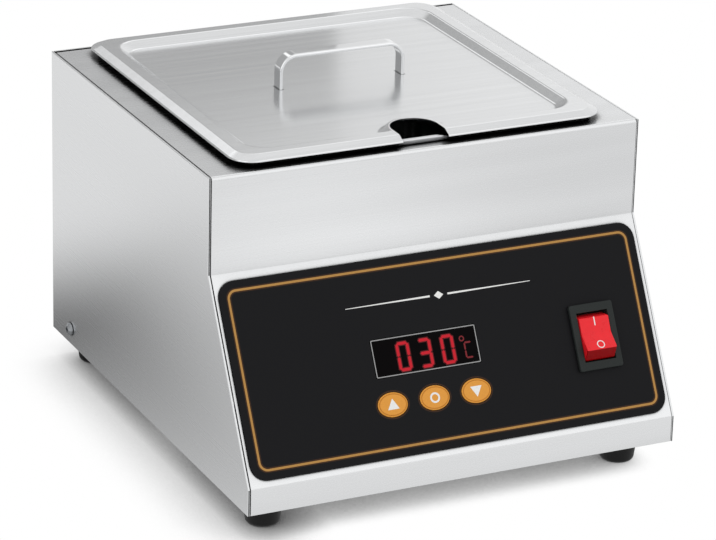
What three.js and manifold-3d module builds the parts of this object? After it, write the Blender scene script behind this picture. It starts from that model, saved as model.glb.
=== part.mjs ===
// Countertop chocolate tempering machine with one lift-out pan, in millimetres, +Z up.
// The origin is on the floor under the middle of the machine. The front faces -Y.
import * as THREE from 'three';
import { mergeVertices } from 'three/addons/utils/BufferGeometryUtils.js';
import Module from 'manifold-3d';

const wasm = await Module();
wasm.setup();

// Fits and cuts shared by every piece
const seat_gap = 0.3;
const cut_overrun = 5;

// Housing of folded stainless sheet, as wide, deep and high as the pan and the parts below it need
const deck_side_margin = 20.5;
const deck_end_margin = 7.5;
const blanket_clearance = 7.4;
const band_height = 51;
const slant_run = 52;
const lip_height = 14;
const housing_sheet = 1.2;
const side_seam = 0.8;
const bend_radius = 2;
const side_edge_round = 0.35;
const shell_flange = 9;
const side_return = 10;
const base_flange = 12;

// Rubber feet
const foot_height = 16;
const foot_top_radius = 10.8;
const foot_bottom_radius = 8.8;
const foot_edge_round = 2.4;
const foot_bore_radius = 2.4;
const foot_counterbore_radius = 5;
const foot_counterbore_depth = 6;
const foot_inset_side = 19;
const foot_inset_front = 24;
const foot_inset_rear = 15;

// Machine screws
const screw_radius = 2;
const screw_hole_radius = 2.4;
const screw_head_radius = 3.5;
const screw_head_height = 2.1;
const screw_recess_width = 1;
const screw_recess_depth = 1.2;
const sheet_screw_length = 8;
const foot_screw_length = 15;
const clinch_nut_radius = 4;
const clinch_nut_height = 3.2;

// Places of the side and rear panel screws
const side_screw_height = 9;
const side_screw_from_rear = 27;
const rear_screw_from_side = 6;
const rear_screw_low = 14;
const rear_screw_below_deck = 23;

// Lift-out pan that stands on the deck by the turned-down edge of its rim
const pan_rim_width = 199;
const pan_rim_depth = 197;
const pan_rim_reach = 3.8;
const pan_rim_turn = 1.5;
const pan_rim_corner = 9.5;
const pan_sheet = 1;
const pan_height = 96.5;
const pan_taper = 4;
const pan_floor_round = 11.5;
const pan_deck_clearance = 0.8;

// Lid with a sloping, hemmed edge, a sunken middle and a half-round spoon notch
const lid_overhang = 3.5;
const lid_sheet = 0.8;
const lid_edge_height = 0.5;
const lid_edge_run = 4.8;
const lid_edge_drop = 2.4;
const lid_hem_width = 6;
const lid_border = 11.25;
const lid_recess_depth = 3.5;
const lid_recess_run = 5;
const lid_recess_corner = 14;
const notch_width = 25.5;
const notch_depth = 25.5;

// Strip handle welded to the lid
const handle_span = 72;
const handle_height = 18.5;
const handle_strip_width = 8;
const handle_strip_thickness = 2;
const handle_bend_radius = 8;
const handle_edge_round = 0.6;

// Heated well around the pan, with its heater and blanket
const well_gap = 3;
const well_sheet = 1;
const well_flange = 3.5;
const well_floor_round = 12;
const heater_thickness = 2.5;
const heater_margin = 18;
const heater_hole_radius = 26;
const clamp_thickness = 1.5;
const clamp_margin = 24;
const blanket_thickness = 3;
const blanket_hole_radius = 22;
const plate_corner = 8;
const probe_radius = 2.5;
const probe_length = 26;
const cutout_radius = 8;
const cutout_height = 7;
const cutout_neck_radius = 5;
const cutout_neck_height = 4;
const sensor_offset = 11;

// Control overlay on the slanted face
const overlay_thickness = 0.6;
const overlay_margin = 3.3;
const overlay_high_margin = 4.2;
const overlay_corner = 8.5;

// Display window, digit module and the board behind
const display_x = -12;
const display_up = 53.5;
const window_width = 58.6;
const window_height = 19.5;
const window_corner = 0.8;
const display_hole_width = 52;
const display_hole_height = 16.6;
const module_width = 50.3;
const module_height = 19;
const module_depth = 7.6;
const board_width = 100;
const board_height = 60;
const board_up = 42;
const board_thickness = 1.6;
const board_corner = 2;
const standoff_radius = 2.5;
const standoff_inset = 5;

// Oval keys over small push switches
const key_width = 16.5;
const key_height = 12.5;
const key_pitch = 23.4;
const key_up = 29.8;
const key_thickness = 0.6;
const key_edge_round = 0.2;
const key_travel = 0.4;
const key_stem_radius = 2.2;
const key_switch_size = 6;
const key_switch_height = 3.4;
const key_plunger_radius = 1.7;
const key_plunger_height = 1.6;

// Mains rocker switch
const rocker_from_side = 37;
const rocker_up = 47.2;
const bezel_width = 25;
const bezel_length = 34.3;
const bezel_thickness = 2;
const bezel_corner = 1.2;
const bezel_edge_round = 0.5;
const switch_body_width = 21.6;
const switch_body_length = 29.4;
const switch_body_depth = 20;
const rocker_width = 17;
const rocker_radius = 12.2;
const rocker_skirt = 2;
const rocker_edge_round = 0.5;
const rocker_pivot_depth = 3.5;
const rocker_sink = 0.2;
const rocker_side_clearance = 0.5;
const rocker_end_clearance = 0.6;
const rocker_well_depth = 9;
const rocker_pin_radius = 1;
const rocker_pin_reach = 0.7;
const rocker_tilt_degrees = 11;
const tab_width = 6.3;
const tab_thickness = 0.8;
const tab_length = 8;
const tab_spread_x = 5;
const tab_spread_up = 8;

// Mains inlet in the rear panel
const inlet_from_side = 48;
const inlet_height = 34;
const inlet_flange_width = 31;
const inlet_flange_height = 24;
const inlet_flange_thickness = 2.6;
const inlet_corner = 3;
const inlet_edge_round = 0.5;
const inlet_body_width = 27;
const inlet_body_height = 20;
const inlet_body_depth = 19;
const inlet_cavity_width = 24.4;
const inlet_cavity_height = 16.6;
const inlet_cavity_depth = 15;
const inlet_cavity_chamfer = 5;
const inlet_cavity_corner = 1;
const pin_width = 2;
const pin_height = 4;
const pin_front_length = 12;
const pin_back_length = 8;
const pin_spread = 7;
const pin_rise = 2;

// Vent slots in the rear panel and the base
const vent_width = 3;
const vent_pitch = 8;
const rear_vent_length = 32;
const rear_vent_count = 9;
const rear_vent_from_side = 68;
const base_vent_length = 44;
const base_vent_count = 7;
const base_vent_from_side = 48;

// Power board, its parts and the earth stud, on the base
const power_board_width = 92;
const power_board_depth = 62;
const power_board_from_side = 100;
const power_board_from_rear = 82.5;
const power_post_height = 8;
const power_post_radius = 3;
const power_post_inset = 6;
const transformer_size = [32, 27, 24];
const relay_size = [19, 15.5, 15];
const terminal_block_size = [36, 11, 13];
const heat_sink_size = [30, 12, 22];
const board_part_spread_x = 24;
const board_part_spread_y = 14;
const small_part_round = 0.8;
const earth_stud_from_side = 44;
const earth_stud_from_rear = 44;
const earth_stud_height = 12;

// Smoothness of round shapes
const round_steps = 24;
const small_round_steps = 12;
const corner_steps = 6;
const small_corner_steps = 3;
const floor_steps = 4;
const edge_steps = 2;

// Sizes and places worked out from the sizes above
const blanket_drop = 3 * seat_gap + blanket_thickness + clamp_thickness
  + heater_thickness + well_sheet + well_gap;
const blanket_height = inlet_height + inlet_flange_height / 2 + blanket_clearance;
const pan_rim_rise = seat_gap + pan_rim_turn + pan_sheet;
const housing_height = blanket_height + blanket_drop + pan_height - pan_rim_rise;
const housing_width = pan_rim_width + 2 * deck_side_margin;
const deck_depth = pan_rim_depth + 2 * deck_end_margin;
const half_width = housing_width / 2;
const base_z = foot_height;
const deck_z = base_z + housing_height;
const band_low_z = deck_z - band_height;
const lip_top_z = base_z + lip_height;
const overall_depth = slant_run + deck_depth + seat_gap + inlet_flange_thickness;
const front_y = -overall_depth / 2;
const band_y = front_y + slant_run;
const rear_y = band_y + deck_depth;
const slant_rise = band_low_z - lip_top_z;
const slant_length = Math.hypot(slant_run, slant_rise);
const slant_angle = Math.atan2(slant_rise, slant_run);
const shell_half_width = half_width - housing_sheet - side_seam;
const inner_half_width = half_width - housing_sheet - seat_gap;
const rear_cover = housing_sheet + seat_gap;
const return_y = rear_y - rear_cover - housing_sheet;
const plate_low_z = base_z + housing_sheet + seat_gap;
const plate_top_z = plate_low_z + housing_sheet;
const plate_front_y = front_y + housing_sheet + seat_gap;
const plate_rear_y = return_y - seat_gap;

const pan_wall_width = pan_rim_width - 2 * pan_rim_reach + 2 * pan_sheet;
const pan_wall_depth = pan_rim_depth - 2 * pan_rim_reach + 2 * pan_sheet;
const pan_wall_corner = pan_rim_corner + pan_rim_reach;
const pan_edge_low_z = deck_z + seat_gap;
const pan_top_z = deck_z + pan_rim_rise;
const pan_low_z = pan_top_z - pan_height;
const lid_width = pan_rim_width + 2 * lid_overhang;
const lid_depth = pan_rim_depth + 2 * lid_overhang;
const lid_corner = pan_rim_corner + lid_overhang;
const lid_low_z = pan_top_z + seat_gap;
const lid_top_z = lid_low_z + lid_edge_height + lid_edge_drop;
const lid_floor_z = lid_top_z - lid_recess_depth;

const well_width = pan_wall_width + 2 * well_gap;
const well_depth = pan_wall_depth + 2 * well_gap;
const well_corner = pan_wall_corner + well_gap;
const well_top_z = deck_z - housing_sheet - seat_gap;
const well_floor_z = pan_low_z - well_gap;
const well_low_z = well_floor_z - well_sheet;
const heater_top_z = well_low_z - seat_gap;
const clamp_top_z = heater_top_z - heater_thickness - seat_gap;
const blanket_floor_z = clamp_top_z - clamp_thickness - seat_gap;

const overlay_top = seat_gap + overlay_thickness;
const key_low = seat_gap + key_travel;
const module_top = -housing_sheet - seat_gap;
const board_top = module_top - module_depth - seat_gap;
const bezel_low = overlay_top + seat_gap;
const bezel_top = bezel_low + bezel_thickness;
const switch_low = bezel_low - switch_body_depth;
const rocker_x = half_width - rocker_from_side;
const rocker_pivot = bezel_top - rocker_pivot_depth;
const rocker_tilt = THREE.MathUtils.degToRad(rocker_tilt_degrees);
const inlet_x = half_width - inlet_from_side;
const inlet_z = base_z + inlet_height;
const rear_vent_x = rear_vent_from_side - half_width;
const base_vent_x = base_vent_from_side - half_width;
const power_board_x = half_width - power_board_from_side;
const power_board_y = rear_y - power_board_from_rear;
const power_board_low_z = plate_top_z + power_post_height + seat_gap;
const power_board_top_z = power_board_low_z + board_thickness;

// Colours and finishes
const finishes = {
  brushed_steel: { color: 0xc9cacc, roughness: 0.34, metalness: 1 },
  polished_steel: { color: 0xd4d5d6, roughness: 0.16, metalness: 1 },
  zinc_steel: { color: 0xa9acb0, roughness: 0.42, metalness: 1 },
  aluminium: { color: 0xbfc1c4, roughness: 0.4, metalness: 1 },
  brass: { color: 0xc6a253, roughness: 0.35, metalness: 1 },
  black_rubber: { color: 0x151515, roughness: 0.8, metalness: 0 },
  black_film: { color: 0x1c1c1e, roughness: 0.35, metalness: 0 },
  black_plastic: { color: 0x2b2d2d, roughness: 0.45, metalness: 0 },
  orange_plastic: { color: 0xe8962e, roughness: 0.4, metalness: 0 },
  red_plastic: { color: 0xe03038, roughness: 0.25, metalness: 0 },
  smoked_window: { color: 0x0c0a0b, roughness: 0.12, metalness: 0 },
  green_board: { color: 0x1f5a35, roughness: 0.5, metalness: 0 },
  heater_rubber: { color: 0xb4512a, roughness: 0.7, metalness: 0 },
  glass_wool: { color: 0xe6e2d6, roughness: 0.95, metalness: 0 },
};

// Frames: the whole machine, the slanted control face, the rocker's pivot and the well's middle
const machine = new THREE.Group();
const control_face = new THREE.Group();
control_face.position.set(0, front_y, lip_top_z);
control_face.rotation.x = slant_angle;
control_face.updateMatrixWorld(true);
const rocker_frame = new THREE.Group();
rocker_frame.position.set(rocker_x, rocker_up, rocker_pivot);
rocker_frame.rotation.x = -rocker_tilt;
control_face.add(rocker_frame);
const well_frame = new THREE.Group();
well_frame.position.set(0, band_y + deck_depth / 2, 0);
machine.add(control_face, well_frame);

// A closed geometry as a solid for joining and cutting
function solidOf(geometry) {
  geometry.deleteAttribute('normal');
  geometry.deleteAttribute('uv');
  const merged = mergeVertices(geometry);
  const vertProperties = new Float32Array(merged.attributes.position.array);
  const triVerts = new Uint32Array(merged.index.array);
  return new wasm.Manifold(new wasm.Mesh({ numProp: 3, vertProperties, triVerts }));
}

// One named piece, made from a solid and added to its frame
function addPiece(name, solid, finish, frame = machine) {
  const mesh = solid.getMesh();
  const geometry = new THREE.BufferGeometry();
  geometry.setAttribute('position', new THREE.BufferAttribute(mesh.vertProperties, 3));
  geometry.setIndex(new THREE.BufferAttribute(mesh.triVerts, 1));
  geometry.computeVertexNormals();
  const piece = new THREE.Mesh(geometry, new THREE.MeshStandardMaterial(finishes[finish]));
  piece.name = name;
  frame.add(piece);
  return piece;
}

// A box between two opposite corners
function boxBetween(corner, opposite) {
  const size = corner.map((value, i) => Math.abs(opposite[i] - value));
  const middle = corner.map((value, i) => (opposite[i] + value) / 2);
  return solidOf(new THREE.BoxGeometry(...size).translate(...middle));
}

// An upright cylinder about (x, y)
function uprightCylinder(radius, low, high, x = 0, y = 0, steps = small_round_steps) {
  const geometry = new THREE.CylinderGeometry(radius, radius, high - low, steps);
  return solidOf(geometry.rotateX(Math.PI / 2).translate(x, y, (low + high) / 2));
}

// A cylinder along X, centred on x = 0
function crossCylinder(radius, length, y, z) {
  const geometry = new THREE.CylinderGeometry(radius, radius, length, small_round_steps);
  return solidOf(geometry.rotateZ(Math.PI / 2).translate(0, y, z));
}

// A solid turned about Z from a profile of [radius, height] points, listed upwards on its outside
function turned(profile, steps = small_round_steps) {
  const points = profile.map(([radius, height]) => new THREE.Vector2(radius, height));
  return solidOf(new THREE.LatheGeometry(points, steps).rotateX(Math.PI / 2));
}

// A closed outline through [a, b, radius] corners, each rounded by an arc of its radius
function outline(corners, steps = corner_steps) {
  const points = [];
  corners.forEach(([a, b, radius = 0], i) => {
    const corner = new THREE.Vector2(a, b);
    if (radius === 0) {
      points.push(corner);
      return;
    }
    const [before, after] = [corners.at(i - 1), corners[(i + 1) % corners.length]];
    const back = new THREE.Vector2(before[0] - a, before[1] - b).normalize();
    const ahead = new THREE.Vector2(after[0] - a, after[1] - b).normalize();
    const half_angle = Math.acos(back.dot(ahead)) / 2;
    const centre = back.clone().add(ahead).setLength(radius / Math.sin(half_angle)).add(corner);
    const start = back.clone().multiplyScalar(radius / Math.tan(half_angle)).add(corner);
    const turn = Math.sign(ahead.cross(back)) * (Math.PI - 2 * half_angle);
    for (let k = 0; k <= steps; k += 1) {
      points.push(start.clone().rotateAround(centre, (turn * k) / steps));
    }
  });
  return new THREE.Shape(points);
}

// A rectangle with rounded corners about (x, y)
function roundedRectangle(width, height, radius, x = 0, y = 0, steps = corner_steps) {
  const [left, right, low, high] = [x - width / 2, x + width / 2, y - height / 2, y + height / 2];
  const corners = [[left, low], [right, low], [right, high], [left, high]];
  return outline(corners.map(([a, b]) => [a, b, radius]), steps);
}

// A slot across the drawing with nearly half-round ends
function slot(width, length, x, y) {
  const flat_share = 0.96;
  return roundedRectangle(width, length, (width / 2) * flat_share, x, y, small_corner_steps);
}

// An ellipse about (x, y)
function oval(width, height, x, y) {
  const points = new THREE.EllipseCurve(x, y, width / 2, height / 2).getPoints(round_steps);
  return new THREE.Shape(points.slice(1));
}

// An outline raised from low to high, with each end narrowed by run over the height rise
function raise(shape, low, high, { run = 0, rise = run, steps = edge_steps } = {}) {
  const geometry = new THREE.ExtrudeGeometry(shape, {
    depth: high - low - 2 * rise,
    bevelEnabled: run > 0,
    bevelSize: run,
    bevelOffset: -run,
    bevelThickness: rise,
    bevelSegments: steps,
  });
  return geometry.translate(0, 0, low + rise);
}

// The raised outline as a solid
function raised(shape, low, high, ends) {
  return solidOf(raise(shape, low, high, ends));
}

// A drawing of the side view, (y, z), given a thickness along x
function sideSolid(shape, from_x, to_x, ends) {
  const geometry = raise(shape, from_x, to_x, ends);
  return solidOf(geometry.rotateX(Math.PI / 2).rotateZ(Math.PI / 2));
}

// A drawing of the rear view, (x, z), given a thickness between two distances in front of the rear face
function rearSolid(shape, from_rear, to_rear, ends) {
  const geometry = raise(shape, from_rear, to_rear, ends);
  return solidOf(geometry.rotateX(Math.PI / 2).translate(0, rear_y, 0));
}

// What is left of a solid under or over a level
function trimmed(solid, level, upper) {
  const { min, max } = solid.boundingBox();
  const end = upper ? max[2] + cut_overrun : min[2] - cut_overrun;
  const corner = [min[0] - cut_overrun, min[1] - cut_overrun, level];
  return solid.subtract(boxBetween(corner, [max[0] + cut_overrun, max[1] + cut_overrun, end]));
}

// All the solids of a list in one
function joined(solids) {
  return solids.reduce((whole, solid) => whole.add(solid));
}

// The side outline of the housing, each edge moved inwards by its own distance
function housingOutline({ base = 0, rear = 0, sheet = 0, radius = 0 } = {}) {
  const slope_share = slant_rise / slant_run;
  const slant_shift = sheet / Math.sin(slant_angle);
  const slantHeight = (y) => lip_top_z + (y - front_y - slant_shift) * slope_share;
  const [lip_line, band_line] = [front_y + sheet, band_y + sheet];
  return outline([
    [lip_line, base_z + base],
    [rear_y - rear, base_z + base],
    [rear_y - rear, deck_z - sheet],
    [band_line, deck_z - sheet, radius],
    [band_line, slantHeight(band_line), radius],
    [lip_line, slantHeight(lip_line), radius],
  ], small_corner_steps);
}

// Moves a solid of the control face's frame into the machine's frame
function fromControlFace(solid) {
  return solid.transform(control_face.matrixWorld.elements);
}

// The x of each key's middle
function keyPlaces() {
  return [-1, 0, 1].map((place) => display_x + place * key_pitch);
}

// The holes that the controls need in the shell, in the control face's frame
function controlHoles() {
  const [low, high] = [-housing_sheet - cut_overrun, overlay_top + cut_overrun];
  const fit = 2 * seat_gap;
  const display = roundedRectangle(
    display_hole_width, display_hole_height, window_corner, display_x, display_up, small_corner_steps);
  const body_size = [switch_body_width + fit, switch_body_length + fit];
  const body = roundedRectangle(...body_size, bezel_corner, rocker_x, rocker_up, small_corner_steps);
  const stems = keyPlaces().map((x) => uprightCylinder(key_stem_radius + seat_gap, low, high, x, key_up));
  return joined([raised(display, low, high), raised(body, low, high), ...stems]);
}

// The four corners of a rectangle about (x, y), as [name, x, y]
function fourCorners(half_x, half_y, x = 0, y = 0) {
  return [
    ['front_left', x - half_x, y - half_y],
    ['front_right', x + half_x, y - half_y],
    ['rear_left', x - half_x, y + half_y],
    ['rear_right', x + half_x, y + half_y],
  ];
}

// Deck, upright band, slanted face and lip, folded from one sheet with a flange at each end
function addFrontShell() {
  const outer = housingOutline({ rear: rear_cover, radius: bend_radius });
  const inner_rear = rear_cover + housing_sheet;
  const inner_radius = bend_radius - housing_sheet / 2;
  const inner = housingOutline({
    base: housing_sheet, rear: inner_rear, sheet: housing_sheet, radius: inner_radius,
  });
  const shell = sideSolid(outer, -shell_half_width, shell_half_width)
    .subtract(sideSolid(inner, -shell_half_width - cut_overrun, shell_half_width + cut_overrun));
  const under = boxBetween(
    [-housing_width, front_y + shell_flange, base_z - cut_overrun],
    [housing_width, rear_y, plate_low_z],
  );
  const behind_y = return_y - seat_gap;
  const behind = boxBetween(
    [-housing_width, behind_y, base_z - cut_overrun],
    [housing_width, rear_y, deck_z - shell_flange],
  );
  const beside = [-1, 1].map((side) => boxBetween(
    [side * (half_width - side_return - seat_gap), behind_y, base_z],
    [side * housing_width, rear_y + cut_overrun, deck_z - housing_sheet - seat_gap],
  ));
  const opening = roundedRectangle(
    pan_wall_width + 2 * pan_deck_clearance,
    pan_wall_depth + 2 * pan_deck_clearance,
    pan_wall_corner + pan_deck_clearance,
    0,
    well_frame.position.y,
  );
  const hole = raised(opening, deck_z - housing_sheet - cut_overrun, deck_z + cut_overrun);
  const cuts = joined([under, behind, ...beside, hole, fromControlFace(controlHoles())]);
  addPiece('front_shell', shell.subtract(cuts), 'brushed_steel');
}

// Flat side panels, each with a return behind for the rear panel's screws
function addSidePanels() {
  const screw_y = rear_y - side_screw_from_rear;
  [['left', -1], ['right', 1]].forEach(([name, side]) => {
    const faces = [side * half_width, side * (half_width - housing_sheet)].sort((a, b) => a - b);
    const sheet = sideSolid(housingOutline(), ...faces, { run: side_edge_round });
    const fold = boxBetween(
      [side * (half_width - housing_sheet / 2), return_y, base_z + seat_gap],
      [side * (half_width - side_return), return_y + housing_sheet, deck_z - housing_sheet - 2 * seat_gap],
    );
    const hole = crossCylinder(screw_hole_radius, 2 * housing_width, screw_y, base_z + side_screw_height);
    const panel = sheet.add(fold).subtract(hole).subtract(rearScrewHoles());
    addPiece(`side_panel_${name}`, panel, 'brushed_steel');
    const screw = addPiece(`side_screw_${name}`, panHeadScrew(sheet_screw_length), 'zinc_steel');
    screw.position.set(side * (half_width + seat_gap), screw_y, base_z + side_screw_height);
    screw.rotation.y = (side * Math.PI) / 2;
  });
}

// Where the rear panel's screws are, as [name, x, z]
function rearScrewPlaces() {
  const reach = half_width - rear_screw_from_side;
  return [
    ['low_left', -reach, base_z + rear_screw_low],
    ['low_right', reach, base_z + rear_screw_low],
    ['high_left', -reach, deck_z - rear_screw_below_deck],
    ['high_right', reach, deck_z - rear_screw_below_deck],
  ];
}

// The rear panel's screw holes
function rearScrewHoles() {
  return joined(rearScrewPlaces().map(([, x, z]) => {
    const geometry = new THREE.CylinderGeometry(
      screw_hole_radius, screw_hole_radius, side_return, small_round_steps);
    return solidOf(geometry.translate(x, rear_y, z));
  }));
}

// Rear panel between the side panels, with vent slots and the mains inlet's cut-out
function addRearPanel() {
  const through = [-cut_overrun, housing_sheet + cut_overrun];
  const sheet = boxBetween(
    [-inner_half_width, rear_y - housing_sheet, base_z],
    [inner_half_width, rear_y, deck_z],
  );
  const fit = 2 * seat_gap;
  const inlet_size = [inlet_body_width + fit, inlet_body_height + fit, inlet_corner];
  const inlet_hole = roundedRectangle(...inlet_size, inlet_x, inlet_z, small_corner_steps);
  const vents = Array.from({ length: rear_vent_count }, (_, i) => {
    const x = rear_vent_x + (i - (rear_vent_count - 1) / 2) * vent_pitch;
    return rearSolid(slot(vent_width, rear_vent_length, x, inlet_z), ...through);
  });
  const cuts = joined([rearSolid(inlet_hole, ...through), rearScrewHoles(), ...vents]);
  addPiece('rear_panel', sheet.subtract(cuts), 'brushed_steel');
  rearScrewPlaces().forEach(([name, x, z]) => {
    const screw = addPiece(`rear_screw_${name}`, panHeadScrew(sheet_screw_length), 'zinc_steel');
    screw.position.set(x, rear_y + seat_gap, z);
    screw.rotation.x = -Math.PI / 2;
  });
}

// Screw with its head's underside at z = 0, its shank below and a cross recess on top
function panHeadScrew(length) {
  const shoulder = screw_head_height / 2;
  const crown_radius = screw_head_radius / 2;
  const body = turned([
    [0, -length],
    [screw_radius, -length],
    [screw_radius, 0],
    [screw_head_radius, 0],
    [screw_head_radius, shoulder],
    [crown_radius, screw_head_height],
    [0, screw_head_height],
  ]);
  const recess_low = screw_head_height - screw_recess_depth;
  const recess_top = screw_head_height + cut_overrun;
  const arms = [[crown_radius, screw_recess_width / 2], [screw_recess_width / 2, crown_radius]];
  const recess = arms.map(([x, y]) => boxBetween([-x, -y, recess_low], [x, y, recess_top]));
  return body.subtract(joined(recess));
}

// Places of the four feet, as [name, x, y]
function footPlaces() {
  const reach = half_width - foot_inset_side;
  const [near, far] = [front_y + foot_inset_front, rear_y - foot_inset_rear];
  return fourCorners(reach, (far - near) / 2, 0, (far + near) / 2);
}

// Base plate with turned-up sides, clinch nuts over the feet, board posts and vent slots
function addBasePlate() {
  const plate = boxBetween(
    [-inner_half_width, plate_front_y, plate_low_z],
    [inner_half_width, plate_rear_y, plate_top_z],
  );
  const sides = [-1, 1].map((side) => boxBetween(
    [side * inner_half_width, plate_front_y, plate_low_z],
    [side * (inner_half_width - housing_sheet), plate_rear_y, plate_low_z + base_flange],
  ));
  const nuts = footPlaces().map(([, x, y]) => (
    uprightCylinder(clinch_nut_radius, plate_low_z, plate_top_z + clinch_nut_height, x, y)));
  const posts = powerPostPlaces().map(([, x, y]) => (
    uprightCylinder(power_post_radius, plate_low_z, plate_top_z + power_post_height, x, y)));
  const [cut_low, cut_high] = [plate_low_z - cut_overrun, plate_top_z + clinch_nut_height + cut_overrun];
  const bores = footPlaces().map(([, x, y]) => uprightCylinder(screw_hole_radius, cut_low, cut_high, x, y));
  const vents = Array.from({ length: base_vent_count }, (_, i) => {
    const x = base_vent_x + (i - (base_vent_count - 1) / 2) * vent_pitch;
    return raised(slot(vent_width, base_vent_length, x, 0), cut_low, cut_high);
  });
  const side_hole = crossCylinder(
    screw_hole_radius, 2 * housing_width, rear_y - side_screw_from_rear, base_z + side_screw_height);
  const solid = joined([plate, ...sides, ...nuts, ...posts]);
  addPiece('base_plate', solid.subtract(joined([...bores, ...vents, side_hole])), 'zinc_steel');
}

// Rubber feet, wider at the top, each held by a screw from below
function addFeet() {
  const top = plate_low_z - seat_gap;
  const arc = Array.from({ length: small_corner_steps + 1 }, (_, i) => {
    const angle = (Math.PI / 2) * (i / small_corner_steps);
    const radius = foot_bottom_radius - foot_edge_round * (1 - Math.sin(angle));
    return [radius, foot_edge_round * (1 - Math.cos(angle))];
  });
  const profile = [
    [foot_counterbore_radius, 0],
    ...arc,
    [foot_top_radius, top],
    [foot_bore_radius, top],
    [foot_bore_radius, foot_counterbore_depth],
    [foot_counterbore_radius, foot_counterbore_depth],
    [foot_counterbore_radius, 0],
  ];
  footPlaces().forEach(([name, x, y]) => {
    const foot = addPiece(`foot_${name}`, turned(profile, round_steps), 'black_rubber');
    foot.position.set(x, y, 0);
    const screw = addPiece(`foot_screw_${name}`, panHeadScrew(foot_screw_length), 'zinc_steel');
    screw.position.set(x, y, foot_counterbore_depth - seat_gap);
    screw.rotation.x = Math.PI;
  });
}

// Draws the sides of a geometry in towards its low end
function taper(geometry, half_x, half_y) {
  const position = geometry.attributes.position;
  for (let i = 0; i < position.count; i += 1) {
    const inwards = (pan_taper * (pan_top_z - position.getZ(i))) / pan_height;
    position.setX(i, position.getX(i) * (1 - inwards / half_x));
    position.setY(i, position.getY(i) * (1 - inwards / half_y));
  }
  return geometry;
}

// Lift-out pan: tapered walls, a well-rounded floor and a narrow rim with a turned-down edge
function addPan() {
  const wall = (inset) => {
    const [width, depth] = [pan_wall_width - 2 * inset, pan_wall_depth - 2 * inset];
    const round = pan_floor_round - inset;
    const high = pan_top_z + round + cut_overrun;
    const shape = roundedRectangle(width, depth, pan_wall_corner - inset);
    const geometry = raise(shape, pan_low_z + inset, high, { run: round, steps: floor_steps });
    return solidOf(taper(geometry, pan_wall_width / 2, pan_wall_depth / 2));
  };
  const body = trimmed(wall(0), pan_top_z, true);
  const rim_shape = (inset) => roundedRectangle(
    pan_rim_width - 2 * inset, pan_rim_depth - 2 * inset, pan_rim_corner - inset);
  const rim = raised(rim_shape(0), pan_edge_low_z, pan_top_z)
    .subtract(raised(rim_shape(pan_sheet), pan_edge_low_z - cut_overrun, pan_top_z - pan_sheet));
  addPiece('tempering_pan', body.add(rim).subtract(wall(pan_sheet)), 'polished_steel', well_frame);
}

// Lid pressed from thin sheet, and the strip handle on its sunken middle
function addLid() {
  const edge = { run: lid_edge_run, rise: lid_edge_drop, steps: 1 };
  const cap = (inset) => {
    const shape = roundedRectangle(lid_width - 2 * inset, lid_depth - 2 * inset, lid_corner - inset);
    const low = lid_low_z - lid_edge_drop - cut_overrun;
    return raised(shape, low, lid_top_z - inset, edge);
  };
  const wall = { run: lid_recess_run, rise: lid_recess_depth, steps: 1 };
  const pocket = (grown) => {
    const inset = lid_border - grown;
    const size = [lid_width - 2 * inset, lid_depth - 2 * inset, lid_recess_corner + grown];
    const high = lid_top_z + lid_recess_depth + cut_overrun;
    return raised(roundedRectangle(...size), lid_floor_z - grown, high, wall);
  };
  const skin = trimmed(cap(0), lid_low_z, false).subtract(cap(lid_sheet));
  const foldShape = (inset) => roundedRectangle(
    lid_width - 2 * inset, lid_depth - 2 * inset, lid_corner - inset);
  const hem = raised(foldShape(0), lid_low_z, lid_low_z + lid_sheet)
    .intersect(cap(0))
    .subtract(raised(foldShape(lid_hem_width), lid_low_z - cut_overrun, lid_low_z + cut_overrun));
  const bowl = trimmed(pocket(lid_sheet), lid_top_z - lid_sheet / 2, true);
  const rounding_share = 0.98;
  const notch_round = (notch_width / 2) * rounding_share;
  const notch = outline([
    [-notch_width / 2, -lid_depth / 2 - cut_overrun],
    [notch_width / 2, -lid_depth / 2 - cut_overrun],
    [notch_width / 2, -lid_depth / 2 + notch_depth, notch_round],
    [-notch_width / 2, -lid_depth / 2 + notch_depth, notch_round],
  ]);
  const notch_cut = raised(notch, lid_floor_z - cut_overrun, lid_top_z + cut_overrun);
  const lid = skin.add(hem).add(bowl).subtract(pocket(0)).subtract(notch_cut);
  addPiece('lid', lid, 'polished_steel', well_frame);

  const foot = lid_floor_z + seat_gap;
  const top = lid_floor_z + handle_height;
  const [outer, inner] = [handle_span / 2, handle_span / 2 - handle_strip_thickness];
  const inner_round = handle_bend_radius - handle_strip_thickness;
  const strip = outline([
    [-outer, foot],
    [-inner, foot],
    [-inner, top - handle_strip_thickness, inner_round],
    [inner, top - handle_strip_thickness, inner_round],
    [inner, foot],
    [outer, foot],
    [outer, top, handle_bend_radius],
    [-outer, top, handle_bend_radius],
  ]);
  const half_strip = handle_strip_width / 2;
  const handle = raise(strip, -half_strip, half_strip, { run: handle_edge_round });
  addPiece('lid_handle', solidOf(handle.rotateX(Math.PI / 2)), 'polished_steel', well_frame);
}

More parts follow.
